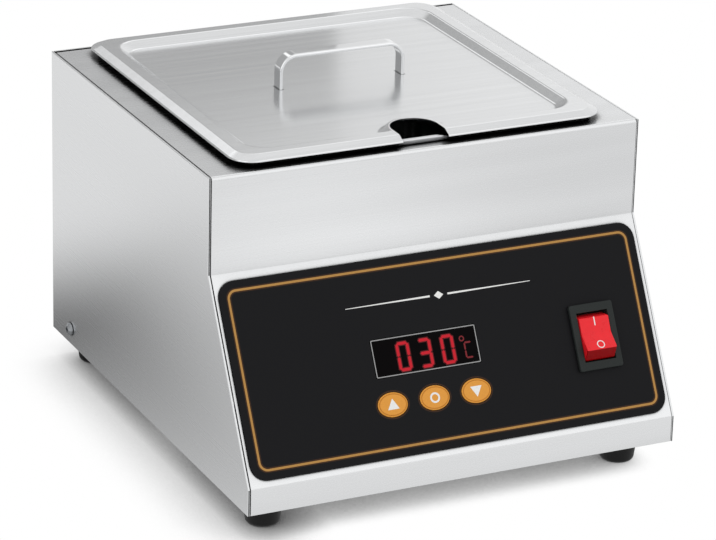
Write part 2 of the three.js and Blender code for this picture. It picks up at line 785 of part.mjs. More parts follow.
// Heated well under the deck, with the heater, its clamp, the sensors and the blanket
function addWell() {
  const outer_size = [well_width + 2 * well_sheet, well_depth + 2 * well_sheet];
  const outer_corner = well_corner + well_sheet;
  const vessel = (size, corner, low, round) => {
    const high = well_top_z + round + cut_overrun;
    return raised(roundedRectangle(...size, corner), low, high, { run: round, steps: floor_steps });
  };
  const shell = trimmed(
    vessel(outer_size, outer_corner, well_low_z, well_floor_round + well_sheet), well_top_z, true);
  const flange_size = outer_size.map((value) => value + 2 * well_flange);
  const flange_shape = roundedRectangle(...flange_size, outer_corner + well_flange);
  const flange = raised(flange_shape, well_top_z - well_sheet, well_top_z);
  const inside = vessel([well_width, well_depth], well_corner, well_floor_z, well_floor_round);
  addPiece('well_tank', shell.add(flange).subtract(inside), 'zinc_steel', well_frame);

  const plate = (margin, top, thickness) => {
    const size = outer_size.map((value) => value - 2 * margin);
    const sheet = raised(roundedRectangle(...size, plate_corner), top - thickness, top);
    const [low, high] = [top - thickness - cut_overrun, top + cut_overrun];
    return sheet.subtract(uprightCylinder(heater_hole_radius, low, high, 0, 0, round_steps));
  };
  const mat = plate(heater_margin, heater_top_z, heater_thickness);
  addPiece('heating_mat', mat, 'heater_rubber', well_frame);
  const clamp = plate(clamp_margin, clamp_top_z, clamp_thickness);
  addPiece('heater_clamp', clamp, 'aluminium', well_frame);

  const sleeve_size = outer_size.map((value) => value + 2 * seat_gap);
  const sleeve_corner = outer_corner + seat_gap;
  const blanket_size = sleeve_size.map((value) => value + 2 * blanket_thickness);
  const blanket_low = blanket_floor_z - blanket_thickness;
  const blanket_top = well_top_z - well_sheet - seat_gap;
  const wrap = roundedRectangle(...blanket_size, sleeve_corner + blanket_thickness);
  const room = roundedRectangle(...sleeve_size, sleeve_corner);
  const [cut_low, cut_high] = [blanket_low - cut_overrun, blanket_top + cut_overrun];
  const blanket = raised(wrap, blanket_low, blanket_top)
    .subtract(raised(room, blanket_floor_z, cut_high))
    .subtract(uprightCylinder(blanket_hole_radius, cut_low, cut_high, 0, 0, round_steps));
  addPiece('insulation_blanket', blanket, 'glass_wool', well_frame);

  const probe = crossCylinder(probe_radius, probe_length, -sensor_offset, heater_top_z - probe_radius);
  addPiece('temperature_probe', probe, 'polished_steel', well_frame);
  const cutout = turned([
    [0, -cutout_height - cutout_neck_height],
    [cutout_neck_radius, -cutout_height - cutout_neck_height],
    [cutout_neck_radius, -cutout_height],
    [cutout_radius, -cutout_height],
    [cutout_radius, 0],
    [0, 0],
  ], round_steps);
  const cutout_piece = addPiece('thermal_cutout', cutout, 'black_plastic', well_frame);
  cutout_piece.position.set(0, sensor_offset, heater_top_z);
}

// Printed overlay with holes for the window, the keys and the rocker's body
function addOverlay() {
  const [low_edge, high_edge] = [overlay_margin, slant_length - overlay_high_margin];
  const sheet = raised(roundedRectangle(
    2 * (half_width - overlay_margin),
    high_edge - low_edge,
    overlay_corner,
    0,
    (low_edge + high_edge) / 2,
  ), seat_gap, overlay_top);
  const [cut_low, cut_high] = [seat_gap - cut_overrun, overlay_top + cut_overrun];
  const fit = 2 * seat_gap;
  const window_size = [window_width + fit, window_height + fit, window_corner + seat_gap];
  const body_size = [switch_body_width + fit, switch_body_length + fit, bezel_corner];
  const holes = [
    roundedRectangle(...window_size, display_x, display_up, small_corner_steps),
    roundedRectangle(...body_size, rocker_x, rocker_up, small_corner_steps),
    ...keyPlaces().map((x) => oval(key_width + fit, key_height + fit, x, key_up)),
  ].map((shape) => raised(shape, cut_low, cut_high));
  addPiece('control_overlay', sheet.subtract(joined(holes)), 'black_film', control_face);
}

// Display window in the overlay, the digit module and the control board behind
function addDisplay() {
  const window_shape = roundedRectangle(
    window_width, window_height, window_corner, display_x, display_up, small_corner_steps);
  addPiece('display_window', raised(window_shape, seat_gap, overlay_top), 'smoked_window', control_face);
  const module_solid = boxBetween(
    [display_x - module_width / 2, display_up - module_height / 2, module_top - module_depth],
    [display_x + module_width / 2, display_up + module_height / 2, module_top],
  );
  addPiece('display_module', module_solid, 'black_plastic', control_face);
  const board_shape = roundedRectangle(
    board_width, board_height, board_corner, display_x, board_up, small_corner_steps);
  const board = raised(board_shape, board_top - board_thickness, board_top);
  addPiece('control_board', board, 'green_board', control_face);
  const [reach_x, reach_up] = [board_width / 2 - standoff_inset, board_height / 2 - standoff_inset];
  const names = ['low_left', 'low_right', 'high_left', 'high_right'];
  fourCorners(reach_x, reach_up, display_x, board_up).forEach(([, x, up], i) => {
    const post = uprightCylinder(standoff_radius, board_top + seat_gap, module_top, x, up);
    addPiece(`board_standoff_${names[i]}`, post, 'zinc_steel', control_face);
  });
}

// Oval key caps with stems, and the push switches that they press
function addKeys() {
  const switch_seat = board_top + seat_gap;
  const plunger_top = switch_seat + key_switch_height + key_plunger_height;
  const stem_low = plunger_top + key_travel + seat_gap;
  const half_switch = key_switch_size / 2;
  const names = ['up', 'set', 'down'];
  keyPlaces().forEach((x, i) => {
    const shape = oval(key_width, key_height, x, key_up);
    const cap = raised(shape, key_low, key_low + key_thickness, { run: key_edge_round });
    const stem = uprightCylinder(key_stem_radius, stem_low, key_low + key_thickness / 2, x, key_up);
    addPiece(`key_${names[i]}`, cap.add(stem), 'orange_plastic', control_face);
    const block = boxBetween(
      [x - half_switch, key_up - half_switch, switch_seat],
      [x + half_switch, key_up + half_switch, switch_seat + key_switch_height],
    );
    const plunger = uprightCylinder(key_plunger_radius, switch_seat, plunger_top, x, key_up);
    addPiece(`key_switch_${names[i]}`, block.add(plunger), 'black_plastic', control_face);
  });
}

// Rocker housing with its bezel, four terminals and the tipping rocker on two pins
function addRockerSwitch() {
  const bezel_shape = roundedRectangle(
    bezel_width, bezel_length, bezel_corner, rocker_x, rocker_up, small_corner_steps);
  const bezel = raised(bezel_shape, bezel_low, bezel_top, { run: bezel_edge_round });
  const body_shape = roundedRectangle(
    switch_body_width, switch_body_length, bezel_corner, rocker_x, rocker_up, small_corner_steps);
  const body = raised(body_shape, switch_low, bezel_low + bezel_thickness / 2);
  const half_room = rocker_width / 2 + rocker_side_clearance;
  const room_reach = rocker_radius + rocker_end_clearance;
  const room = boxBetween(
    [rocker_x - half_room, rocker_up - room_reach, bezel_top - rocker_well_depth],
    [rocker_x + half_room, rocker_up + room_reach, bezel_top + cut_overrun],
  );
  const pin_half = half_room + rocker_pin_reach;
  const sockets = crossCylinder(
    rocker_pin_radius + seat_gap, 2 * (pin_half + seat_gap), rocker_up, rocker_pivot);
  const housing = bezel.add(body).subtract(room).subtract(sockets.translate([rocker_x, 0, 0]));
  addPiece('rocker_housing', housing, 'black_plastic', control_face);

  const pressed_angle = Math.asin((rocker_pivot_depth + rocker_sink) / rocker_radius);
  const end_angle = pressed_angle + rocker_tilt;
  const low_angle = -Math.asin(rocker_skirt / rocker_radius);
  const end = Array.from({ length: floor_steps + 1 }, (_, i) => {
    const angle = low_angle + (end_angle - low_angle) * (i / floor_steps);
    return new THREE.Vector2(rocker_radius * Math.cos(angle), rocker_radius * Math.sin(angle));
  });
  const crest = end.at(-1);
  const saddle = new THREE.Vector2(0, crest.y - crest.x * Math.tan(rocker_tilt));
  const far_end = end.map((point) => new THREE.Vector2(-point.x, point.y)).reverse();
  const face = new THREE.Shape([...end, saddle, ...far_end]);
  const half_rocker = rocker_width / 2;
  const paddle = sideSolid(face, -half_rocker, half_rocker, { run: rocker_edge_round });
  const pins = crossCylinder(rocker_pin_radius, 2 * pin_half, 0, 0);
  addPiece('rocker', paddle.add(pins), 'red_plastic', rocker_frame);

  const tab_top = switch_low - seat_gap;
  fourCorners(tab_spread_x, tab_spread_up, rocker_x, rocker_up).forEach(([name, x, up]) => {
    const tab = boxBetween(
      [x - tab_width / 2, up - tab_thickness / 2, tab_top - tab_length],
      [x + tab_width / 2, up + tab_thickness / 2, tab_top],
    );
    const place = name.replace('front', 'low').replace('rear', 'high');
    addPiece(`rocker_terminal_${place}`, tab, 'brass', control_face);
  });
}

// Mains inlet: flange, body and cavity, with three pins that run through to solder tabs
function addInlet() {
  const flange = roundedRectangle(
    inlet_flange_width, inlet_flange_height, inlet_corner, inlet_x, inlet_z, small_corner_steps);
  const body = roundedRectangle(
    inlet_body_width, inlet_body_height, inlet_corner, inlet_x, inlet_z, small_corner_steps);
  const [left, right] = [inlet_x - inlet_cavity_width / 2, inlet_x + inlet_cavity_width / 2];
  const [low, high] = [inlet_z - inlet_cavity_height / 2, inlet_z + inlet_cavity_height / 2];
  const cavity = outline([
    [left, low, inlet_cavity_corner],
    [right, low, inlet_cavity_corner],
    [right, high - inlet_cavity_chamfer],
    [right - inlet_cavity_chamfer, high],
    [left + inlet_cavity_chamfer, high],
    [left, high - inlet_cavity_chamfer],
  ], small_corner_steps);
  const outside = -seat_gap - inlet_flange_thickness;
  const cavity_end = outside + inlet_cavity_depth;
  const body_end = outside + inlet_body_depth;
  const places = [
    ['neutral', inlet_x - pin_spread, inlet_z - pin_rise],
    ['earth', inlet_x, inlet_z + pin_rise],
    ['line', inlet_x + pin_spread, inlet_z - pin_rise],
  ];
  const pinBox = (x, z, gap, from, to) => boxBetween(
    [x - pin_width / 2 - gap, rear_y - from, z - pin_height / 2 - gap],
    [x + pin_width / 2 + gap, rear_y - to, z + pin_height / 2 + gap],
  );
  const bores = places.map(([, x, z]) => pinBox(x, z, seat_gap, outside, body_end + cut_overrun));
  const solid = rearSolid(flange, outside, -seat_gap, { run: inlet_edge_round })
    .add(rearSolid(body, outside + inlet_flange_thickness / 2, body_end))
    .subtract(rearSolid(cavity, outside - cut_overrun, cavity_end))
    .subtract(joined(bores));
  addPiece('power_inlet', solid, 'black_plastic');
  const [pin_from, pin_to] = [cavity_end - pin_front_length, body_end + pin_back_length];
  places.forEach(([name, x, z]) => {
    addPiece(`inlet_pin_${name}`, pinBox(x, z, 0, pin_from, pin_to), 'brass');
  });
}

// Where the power board's posts stand, as [name, x, y]
function powerPostPlaces() {
  const reach_x = power_board_width / 2 - power_post_inset;
  const reach_y = power_board_depth / 2 - power_post_inset;
  return fourCorners(reach_x, reach_y, power_board_x, power_board_y);
}

// Power board with its transformer, relay, terminal block and heat sink, and the earth stud
function addPowerParts() {
  const shape = roundedRectangle(
    power_board_width, power_board_depth, board_corner, power_board_x, power_board_y, small_corner_steps);
  addPiece('power_board', raised(shape, power_board_low_z, power_board_top_z), 'green_board');
  const parts = [
    ['transformer', transformer_size, -1, 1, 'black_plastic'],
    ['relay', relay_size, 1, 1, 'black_plastic'],
    ['terminal_block', terminal_block_size, -1, -1, 'black_plastic'],
    ['heat_sink', heat_sink_size, 1, -1, 'aluminium'],
  ];
  parts.forEach(([name, [width, depth, height], side, end, finish]) => {
    const x = power_board_x + side * board_part_spread_x;
    const y = power_board_y + end * board_part_spread_y;
    const plan = roundedRectangle(width, depth, small_part_round, x, y, small_corner_steps);
    const low = power_board_top_z + seat_gap;
    addPiece(name, raised(plan, low, low + height), finish);
  });
  const nut_low = earth_stud_height / 2;
  const nut_top = nut_low + clinch_nut_height;
  const stud = turned([
    [0, 0],
    [clinch_nut_radius, 0],
    [clinch_nut_radius, screw_head_height],
    [screw_radius, screw_head_height],
    [screw_radius, nut_low],
    [clinch_nut_radius, nut_low],
    [clinch_nut_radius, nut_top],
    [screw_radius, nut_top],
    [screw_radius, earth_stud_height],
    [0, earth_stud_height],
  ]);
  const stud_piece = addPiece('earth_stud', stud, 'brass');
  const stud_x = half_width - earth_stud_from_side;
  stud_piece.position.set(stud_x, rear_y - earth_stud_from_rear, plate_top_z + seat_gap);
}

addFrontShell();
addSidePanels();
addRearPanel();
addBasePlate();
addFeet();
addWell();
addPan();
addLid();
addOverlay();
addDisplay();
addKeys();
addRockerSwitch();
addInlet();
addPowerParts();

export default machine;
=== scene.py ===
"""Looks of a countertop chocolate tempering machine: folded stainless housing, lift-out pan, lid, controls.

Sizes are in millimetres and become metres where a mesh is made. The studio's cards and lamps, and distances
inside materials, are in metres. +Z is up and the front faces -Y.
"""

import math

import bmesh
import bpy
import numpy as np
from mathutils import Matrix, Vector


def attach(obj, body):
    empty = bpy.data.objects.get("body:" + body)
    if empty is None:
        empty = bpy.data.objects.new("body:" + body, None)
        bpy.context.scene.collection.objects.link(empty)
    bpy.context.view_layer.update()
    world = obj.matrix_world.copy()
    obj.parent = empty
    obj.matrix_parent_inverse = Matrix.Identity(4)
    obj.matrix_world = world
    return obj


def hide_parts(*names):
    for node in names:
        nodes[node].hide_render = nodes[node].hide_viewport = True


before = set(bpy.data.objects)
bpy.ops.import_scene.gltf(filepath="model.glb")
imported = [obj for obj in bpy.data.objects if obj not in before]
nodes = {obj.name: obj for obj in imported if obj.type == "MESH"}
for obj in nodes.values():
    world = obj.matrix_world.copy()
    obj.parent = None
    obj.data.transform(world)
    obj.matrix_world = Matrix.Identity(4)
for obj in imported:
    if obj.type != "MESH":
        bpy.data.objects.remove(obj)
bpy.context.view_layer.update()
MM = 0.001

# Camera: eye, the point it aims at, its roll, and the lens on a 36 mm wide sensor
EYE = (-800.7, -1645.15, 801.0)
AIM = (14.99, 27.13, 67.46)
ROLL = 1.5143
LENS = 187.585
SENSOR = 36.0

# Housing, in side view
FRONT_Y, BAND_Y, REAR_Y = -133.45, -81.45, 130.55
BASE_Z, LIP_Z, BAND_LOW_Z, DECK_Z = 16.0, 30.0, 124.0, 175.0
SHEET = 1.2
BEND = 2.0
FLANGE = 9.0
REAR_GAP = 1.5
WELL_Y = (BAND_Y + REAR_Y) / 2
SLANT = math.atan2(BAND_LOW_Z - LIP_Z, BAND_Y - FRONT_Y)

# The front shell's ends across the machine: the left seam is open by half a millimetre, the right one closed
SHELL_ENDS = (-118.35, 118.77)

# Openings in the front shell: half width, half depth and corner radius, and the radius of a key's stem hole
WELL_OPENING = (97.5, 96.5, 14.1)
WINDOW_OPENING = (26.0, 8.3, 0.8)
ROCKER_OPENING = (11.1, 15.0, 1.2)
STEM_HOLE = 2.5

# Pan: rim and wall are half width, half depth and corner radius
PAN_TOP_Z, PAN_HEIGHT, PAN_SHEET, PAN_TURN = 177.8, 96.5, 1.0, 1.5
PAN_RIM = (99.5, 98.5, 9.5)
PAN_WALL = (96.7, 95.7, 13.3)
PAN_TAPER, PAN_FLOOR_ROUND, PAN_SHOULDER = 4.0, 11.5, 1.5

# Lid: half width and half depth; levels; its sheet and hem; insets where the border starts and ends, and how
# wide the slope down to the sunken floor is
LID = (103.0, 102.0)
LID_LOW_Z, LID_TOP_Z, LID_FLOOR_Z = 178.1, 181.0, 177.5
LID_SHEET, LID_HEM, LID_HEM_CORNER = 0.8, 6.0, 2.39
LID_EDGE_RUN, LID_BORDER, LID_RECESS_RUN = 4.8, 11.25, 5.0

# Notch in the lid: width and depth; distances from it where its raised lip starts to fall and where it ends;
# the inset from which the lip counts; and the columns of points across the lid's front
NOTCH = (25.5, 25.5)
LIP_LEVEL, LIP_END, LIP_INSET = 1.0, 5.5, 8.0
FRONT_COLUMNS = 140

# Handle: its span and height, the strip's width and thickness, its rounded edges and its bends
HANDLE_SPAN, HANDLE_HEIGHT = 72.0, 18.5
STRIP = (8.0, 2.0)
STRIP_EDGE, HANDLE_BEND = 0.95, 8.5

# Places on the slanted face: x, and up along the face from its lower bend
OVERLAY = (116.7, 3.3, 103.22)  # half width, low edge, high edge
GOLD_INSET = 4.3
RULE = (0.8, 80.6)
DISPLAY = (-12.0, 53.5, 58.6, 19.5)
DIGITS_LEFT, DIGITS_LOW = (-28.0, -15.9, -3.2), 45.4
DIGIT_SIZE, DIGIT_BAR = (7.2, 14.8), 1.5
DEGREE = (8.7, 57.0)
KEYS = {"up": -35.4, "set": -12.0, "down": 11.4}
KEY_UP, KEY_SIZE = 29.8, (16.5, 12.5)
FILM_TOP = 0.9
KEY_LOW, KEY_TOP, KEY_ROUND = 0.7, 1.3, 0.45

# Rocker: its place on the face, how it stands at rest, its ends, crests and slopes
ROCKER = (83.0, 47.2)
ROCKER_TILT = math.radians(-11)
ROCKER_PIVOT = -0.3
ROCKER_SLOPE = math.tan(math.radians(11))
ROCKER_END_RADIUS, ROCKER_HALF_WIDTH, ROCKER_EDGE = 12.2, 8.5, 0.6
ROCKER_CREST = (8.6, 6.2)
ROCKER_SADDLE = ROCKER_CREST[1] - ROCKER_CREST[0] * ROCKER_SLOPE

FEET = {
    "foot_front_left": (-101.0, -109.45),
    "foot_front_right": (101.0, -109.45),
    "foot_rear_left": (-101.0, 115.55),
    "foot_rear_right": (101.0, 115.55),
}

# Edges sharper than this many degrees stay sharp
SHARP = 35.0


# Camera, floor and light


def place_camera():
    """The camera looks from EYE to AIM, then turns by ROLL about its own line of sight."""
    camera = bpy.data.objects.new("camera", bpy.data.cameras.new("camera"))
    bpy.context.scene.collection.objects.link(camera)
    camera.data.lens = LENS
    camera.data.sensor_width = SENSOR
    camera.data.clip_start, camera.data.clip_end = 0.05, 50
    eye, aim = Vector(EYE) * MM, Vector(AIM) * MM
    turned = (aim - eye).to_track_quat("-Z", "Y").to_matrix().to_4x4()
    camera.matrix_world = Matrix.Translation(eye) @ turned @ Matrix.Rotation(math.radians(ROLL), 4, "Z")
    bpy.context.scene.camera = camera


place_camera()
bpy.context.scene.view_settings.view_transform = "Standard"


def colour(text):
    """An sRGB hex value as linear red, green, blue and alpha."""
    parts = np.array([int(text[i : i + 2], 16) for i in (1, 3, 5)]) / 255
    linear = np.where(parts <= 0.04045, parts / 12.92, ((parts + 0.055) / 1.055) ** 2.4)
    return (*linear.tolist(), 1.0)


def add(tree, kind, inputs=(), **settings):
    """Adds a node with its settings; each input takes a value, or the socket that feeds it.

    Inputs go by number where names repeat. A range's are 0 the value, 1 and 2 the two values that it reads,
    3 and 4 what it gives there.
    """
    made = tree.nodes.new(kind)
    for name, value in settings.items():
        setattr(made, name, value)
    for socket, value in dict(inputs).items():
        if isinstance(value, bpy.types.NodeSocket):
            tree.links.new(value, made.inputs[socket])
        else:
            made.inputs[socket].default_value = value
    return made


SOFT = {"interpolation_type": "SMOOTHSTEP"}
WHITE = (1, 1, 1, 1)


def by_ray(tree, lit, mirrored, seen):
    """Three looks in one: for the light that falls on things, for mirrors and glass, and for the camera."""
    path = add(tree, "ShaderNodeLightPath").outputs
    glossy = add(tree, "ShaderNodeMath", {0: path["Is Glossy Ray"], 1: path["Is Transmission Ray"]},
                 operation="MAXIMUM").outputs[0]
    first = add(tree, "ShaderNodeMixShader", {0: glossy, 1: lit, 2: mirrored}).outputs[0]
    return add(tree, "ShaderNodeMixShader", {0: path["Is Camera Ray"], 1: first, 2: seen}).outputs[0]


# Two soft lamps that draw bright lines on bends: direction, cosines at its edge and its core, level added
BEND_LAMPS = (
    ((0.02, 0.82, 0.572), 0.989, 0.997, 0.85),
    ((0.408, 0.6, 0.688), 0.964, 0.986, 0.42),
)
STUDIO_LEVEL = 0.8


def make_world():
    """White for the camera; for metal a bright studio that darkens low down behind and to the left."""
    world = bpy.data.worlds.new("studio")
    bpy.context.scene.world = world
    world.use_nodes = True
    tree = world.node_tree
    tree.nodes.clear()
    way = add(tree, "ShaderNodeTexCoord").outputs["Generated"]
    x, y, z = add(tree, "ShaderNodeSeparateXYZ", {0: way}).outputs
    # Behind the machine it dims to the left; in front and overhead it is bright all round
    side = add(tree, "ShaderNodeMapRange", {0: x, 1: 0.27, 2: 0.48, 3: 0.46, 4: 1.03}, **SOFT).outputs[0]
    ahead = add(tree, "ShaderNodeMapRange", {0: y, 1: -0.2, 2: 0.3, 3: 1.0, 4: 0.0}, **SOFT).outputs[0]
    high = add(tree, "ShaderNodeMapRange", {0: z, 1: 0.45, 2: 0.8, 3: 0.0, 4: 1.0}, **SOFT).outputs[0]
    bright = add(tree, "ShaderNodeMath", {0: ahead, 1: high}, operation="MAXIMUM").outputs[0]
    level = add(tree, "ShaderNodeMix", {0: bright, 2: side, 3: 0.97}, data_type="FLOAT").outputs[0]
    for toward, edge, core, gain in BEND_LAMPS:
        near = add(tree, "ShaderNodeVectorMath", {0: way, 1: toward}, operation="DOT_PRODUCT")
        spot = add(tree, "ShaderNodeMapRange", {0: near.outputs["Value"], 1: edge, 2: core, 3: 0.0, 4: gain},
                   **SOFT).outputs[0]
        level = add(tree, "ShaderNodeMath", {0: level, 1: spot}, operation="ADD").outputs[0]
    seen = add(tree, "ShaderNodeBackground", {0: WHITE, 1: 1.0}).outputs[0]
    mirrored = add(tree, "ShaderNodeBackground", {0: WHITE, 1: level}).outputs[0]
    lit = add(tree, "ShaderNodeBackground", {0: WHITE, 1: STUDIO_LEVEL}).outputs[0]
    add(tree, "ShaderNodeOutputWorld", {0: by_ray(tree, lit, mirrored, seen)})


def plain_material(name):
    """An empty node material and its tree."""
    material = bpy.data.materials.new(name)
    material.use_nodes = True
    material.node_tree.nodes.clear()
    return material, material.node_tree


def new_material(name):
    """A node material, its tree and its principled shader."""
    material, tree = plain_material(name)
    shader = add(tree, "ShaderNodeBsdfPrincipled")
    add(tree, "ShaderNodeOutputMaterial", {0: shader.outputs[0]})
    return material, tree, shader


def flat_card(name, corners, material):
    """A card with a single face between four corners, in metres."""
    mesh = bpy.data.meshes.new(name)
    mesh.from_pydata(corners, [], [(0, 1, 2, 3)])
    mesh.materials.append(material)
    card = bpy.data.objects.new(name, mesh)
    bpy.context.scene.collection.objects.link(card)
    return card


def studio_floor():
    """White paper: plain white to the camera but for a narrow contact shadow, and a wide one for metal."""
    material, tree = plain_material("white_paper_floor")
    position = add(tree, "ShaderNodeNewGeometry").outputs["Position"]
    x, y, _ = add(tree, "ShaderNodeSeparateXYZ", {0: position}).outputs

    # What the camera sees: how open the floor is, carried to white; left of the machine the shadow is deeper
    near = add(tree, "ShaderNodeAmbientOcclusion", {"Distance": 0.055}, samples=12).outputs["AO"]
    least = add(tree, "ShaderNodeMapRange", {0: x, 1: -0.105, 2: -0.07, 3: 0.1, 4: 0.0}).outputs[0]
    full = add(tree, "ShaderNodeMapRange", {0: x, 1: -0.105, 2: -0.07, 3: 0.8, 4: 0.4}).outputs[0]
    depth = add(tree, "ShaderNodeMapRange", {0: near, 1: least, 2: full, 3: 0.02, 4: 1.0}).outputs[0]
    contact = add(tree, "ShaderNodeEmission", {0: WHITE, 1: depth}).outputs[0]

    # What metal mirrors: dark close round the machine's footprint, more so to its rear
    gaps = []
    for coordinate, half in ((x, 0.12), (y, 0.132)):
        size = add(tree, "ShaderNodeMath", {0: coordinate}, operation="ABSOLUTE").outputs[0]
        gap = add(tree, "ShaderNodeMath", {0: size, 1: half}, operation="SUBTRACT", use_clamp=True)
        gaps.append(gap.outputs[0])
    away = add(tree, "ShaderNodeMath", {0: gaps[0], 1: gaps[1]}, operation="MAXIMUM").outputs[0]
    close = add(tree, "ShaderNodeMapRange", {0: away, 1: 0.03, 2: 0.19, 3: 0.75, 4: 0.0}, **SOFT).outputs[0]
    rearward = add(tree, "ShaderNodeMapRange", {0: y, 1: -0.135, 2: 0.16, 3: 0.2, 4: 1.0}).outputs[0]
    dark = add(tree, "ShaderNodeMath", {0: close, 1: rearward}, operation="MULTIPLY").outputs[0]

    # A pool of light ahead of the machine, and a brighter strip of floor just before its front
    pool = add(tree, "ShaderNodeVectorMath", {0: position, 1: (0.1, -0.42, 0.0)}, operation="DISTANCE")
    lighter = add(tree, "ShaderNodeMapRange", {0: pool.outputs["Value"], 1: 0.0, 2: 0.17, 3: 1.42, 4: 0.975},
                  **SOFT).outputs[0]
    for start, end, sign in ((-0.3, -0.2, "ADD"), (-0.18, -0.1, "SUBTRACT")):
        step = add(tree, "ShaderNodeMapRange", {0: y, 1: start, 2: end, 3: 0.0, 4: 0.2}).outputs[0]
        lighter = add(tree, "ShaderNodeMath", {0: lighter, 1: step}, operation=sign).outputs[0]
    lighter = add(tree, "ShaderNodeMath", {0: lighter, 1: dark}, operation="SUBTRACT").outputs[0]
    mirrored = add(tree, "ShaderNodeEmission", {0: WHITE, 1: lighter}).outputs[0]
    paper = add(tree, "ShaderNodeBsdfDiffuse", {0: colour("#E6E6E6")}).outputs[0]
    add(tree, "ShaderNodeOutputMaterial", {0: by_ray(tree, paper, mirrored, contact)})

    reach = 6.0
    corners = [(-reach, -reach, 0), (reach, -reach, 0), (reach, reach, 0), (-reach, reach, 0)]
    floor = flat_card("floor", corners, material)


def softbox(name, way, distance, size, watts):
    """A square area lamp in direction way from the machine, facing it."""
    lamp = bpy.data.objects.new(name, bpy.data.lights.new(name, "AREA"))
    lamp.data.size, lamp.data.energy = size, watts
    lamp.location = Vector(way).normalized() * distance
    lamp.rotation_mode = "QUATERNION"
    lamp.rotation_quaternion = Vector(way).to_track_quat("Z", "Y")
    bpy.context.scene.collection.objects.link(lamp)


def grey_flag():
    """A grey card behind the machine that shows only in reflections, so that the lid darkens to its rear."""
    material, tree = plain_material("grey_card")
    grey = add(tree, "ShaderNodeEmission", {0: WHITE, 1: 0.5}).outputs[0]
    add(tree, "ShaderNodeOutputMaterial", {0: grey})
    left, right, low, high, back = -0.1, 0.225, 0.03, 0.375, 0.5
    corners = [(left, back, low), (right, back, low), (right, back, high), (left, back, high)]
    flag = flat_card("grey_flag", corners, material)
    flag.visible_camera = flag.visible_diffuse = flag.visible_shadow = False


make_world()
studio_floor()
grey_flag()
softbox("key_softbox", (0.42, -0.62, 0.68), distance=2.2, size=2.4, watts=6)
softbox("left_fill", (-0.9, -0.45, 0.5), distance=2.4, size=1.8, watts=4)


# Materials

# Where nearly all of a noise lies
NOISE = {1: 0.3, 2: 0.7}


def colour_by(tree, shader, base, tone):
    """The base colour times a tone, on the shader's colour."""
    tint = add(tree, "ShaderNodeVectorMath", {0: colour(base)[:3], "Scale": tone}, operation="SCALE")
    tree.links.new(tint.outputs[0], shader.inputs["Base Color"])


def work_by(tree, shader, pattern, smoothest, roughest, dent, height):
    """A pattern that varies the gloss between two roughnesses and dents the surface by a height in metres."""
    rough = add(tree, "ShaderNodeMapRange", {0: pattern, **NOISE, 3: smoothest, 4: roughest}).outputs[0]
    tree.links.new(rough, shader.inputs["Roughness"])
    bump = add(tree, "ShaderNodeBump", {"Height": pattern, "Strength": dent, "Distance": height}).outputs[0]
    tree.links.new(bump, shader.inputs["Normal"])


def mottle_by(tree, shader, base, grit, detail, darkest, lightest):
    """A noise at grit lines to the metre that varies the base colour between two tones; gives the noise."""
    place = add(tree, "ShaderNodeTexCoord").outputs["Object"]
    noise = add(tree, "ShaderNodeTexNoise", {0: place, "Scale": grit, "Detail": detail}).outputs[0]
    tone = add(tree, "ShaderNodeMapRange", {0: noise, **NOISE, 3: darkest, 4: lightest}).outputs[0]
    colour_by(tree, shader, base, tone)
    return noise


def brushed_steel(name, grain, base="#DADBDC", roughness=0.27, anisotropic=0.55, lines=0.012, dent=0.012,
                  painted_shade_reach=0.006, streak=40.0, depth=0.05, spread=0.02):
    """Stainless sheet, rolled and brushed: grain runs along one axis and spreads reflections across it.

    lines, depth, spread and dent are how far the brush lines vary the tone, the broad streaks vary it, the
    brush lines vary the roughness, and how strongly they dent. streak is the broad streaks to the metre, and
    painted_shade_reach the distance in metres within which painted shade darkens the colour in crevices and
    under overhangs.
    The brush lines are about 0.1 mm apart on the real sheet; here they are about 0.6 mm, so that they show.
    """
    material, tree, shader = new_material(name)
    place = add(tree, "ShaderNodeTexCoord").outputs["Object"]

    def grained(along, across, **noise):
        """Noise drawn out along the grain, at its scales along and across it."""
        stretch = [along if axis == grain else across for axis in range(3)]
        ruled = add(tree, "ShaderNodeMapping", {0: place, 3: stretch}).outputs[0]
        return add(tree, "ShaderNodeTexNoise", {0: ruled, "Scale": 1.0, **noise}).outputs[0]

    brushing = grained(6.0, 1800.0, Detail=3.0, Roughness=0.6)
    broad = grained(3.0, streak, Detail=1.0)
    fine_tone = add(tree, "ShaderNodeMapRange", {0: brushing, **NOISE, 3: 1 - lines, 4: 1.0}).outputs[0]
    broad_tone = add(tree, "ShaderNodeMapRange", {0: broad, **NOISE, 3: 1 - depth, 4: 1.0}).outputs[0]
    both = add(tree, "ShaderNodeMath", {0: fine_tone, 1: broad_tone}, operation="MULTIPLY").outputs[0]
    # Painted shade: where little of the sky is open, in crevices and under overhangs such as the deck under
    # the lid's edge, the colour goes nearly black
    opening = add(tree, "ShaderNodeAmbientOcclusion", {"Distance": painted_shade_reach}, samples=8).outputs["AO"]
    painted_crevice_shade = add(tree, "ShaderNodeMapRange", {0: opening, 1: 0.52, 2: 0.9, 3: 0.01, 4: 1.0}).outputs[0]
    tone_with_painted_shade = add(tree, "ShaderNodeMath", {0: both, 1: painted_crevice_shade}, operation="MULTIPLY").outputs[0]
    colour_by(tree, shader, base, tone_with_painted_shade)
    work_by(tree, shader, brushing, roughness - spread, roughness + spread, dent, 0.0001)
    shader.inputs["Metallic"].default_value = 1.0
    shader.inputs["Anisotropic"].default_value = anisotropic
    facing = add(tree, "ShaderNodeNewGeometry").outputs["Normal"]
    along = [1.0 if axis == grain else 0.0 for axis in range(3)]
    tangent = add(tree, "ShaderNodeVectorMath", {0: facing, 1: along}, operation="CROSS_PRODUCT").outputs[0]
    tree.links.new(tangent, shader.inputs["Tangent"])
    return material


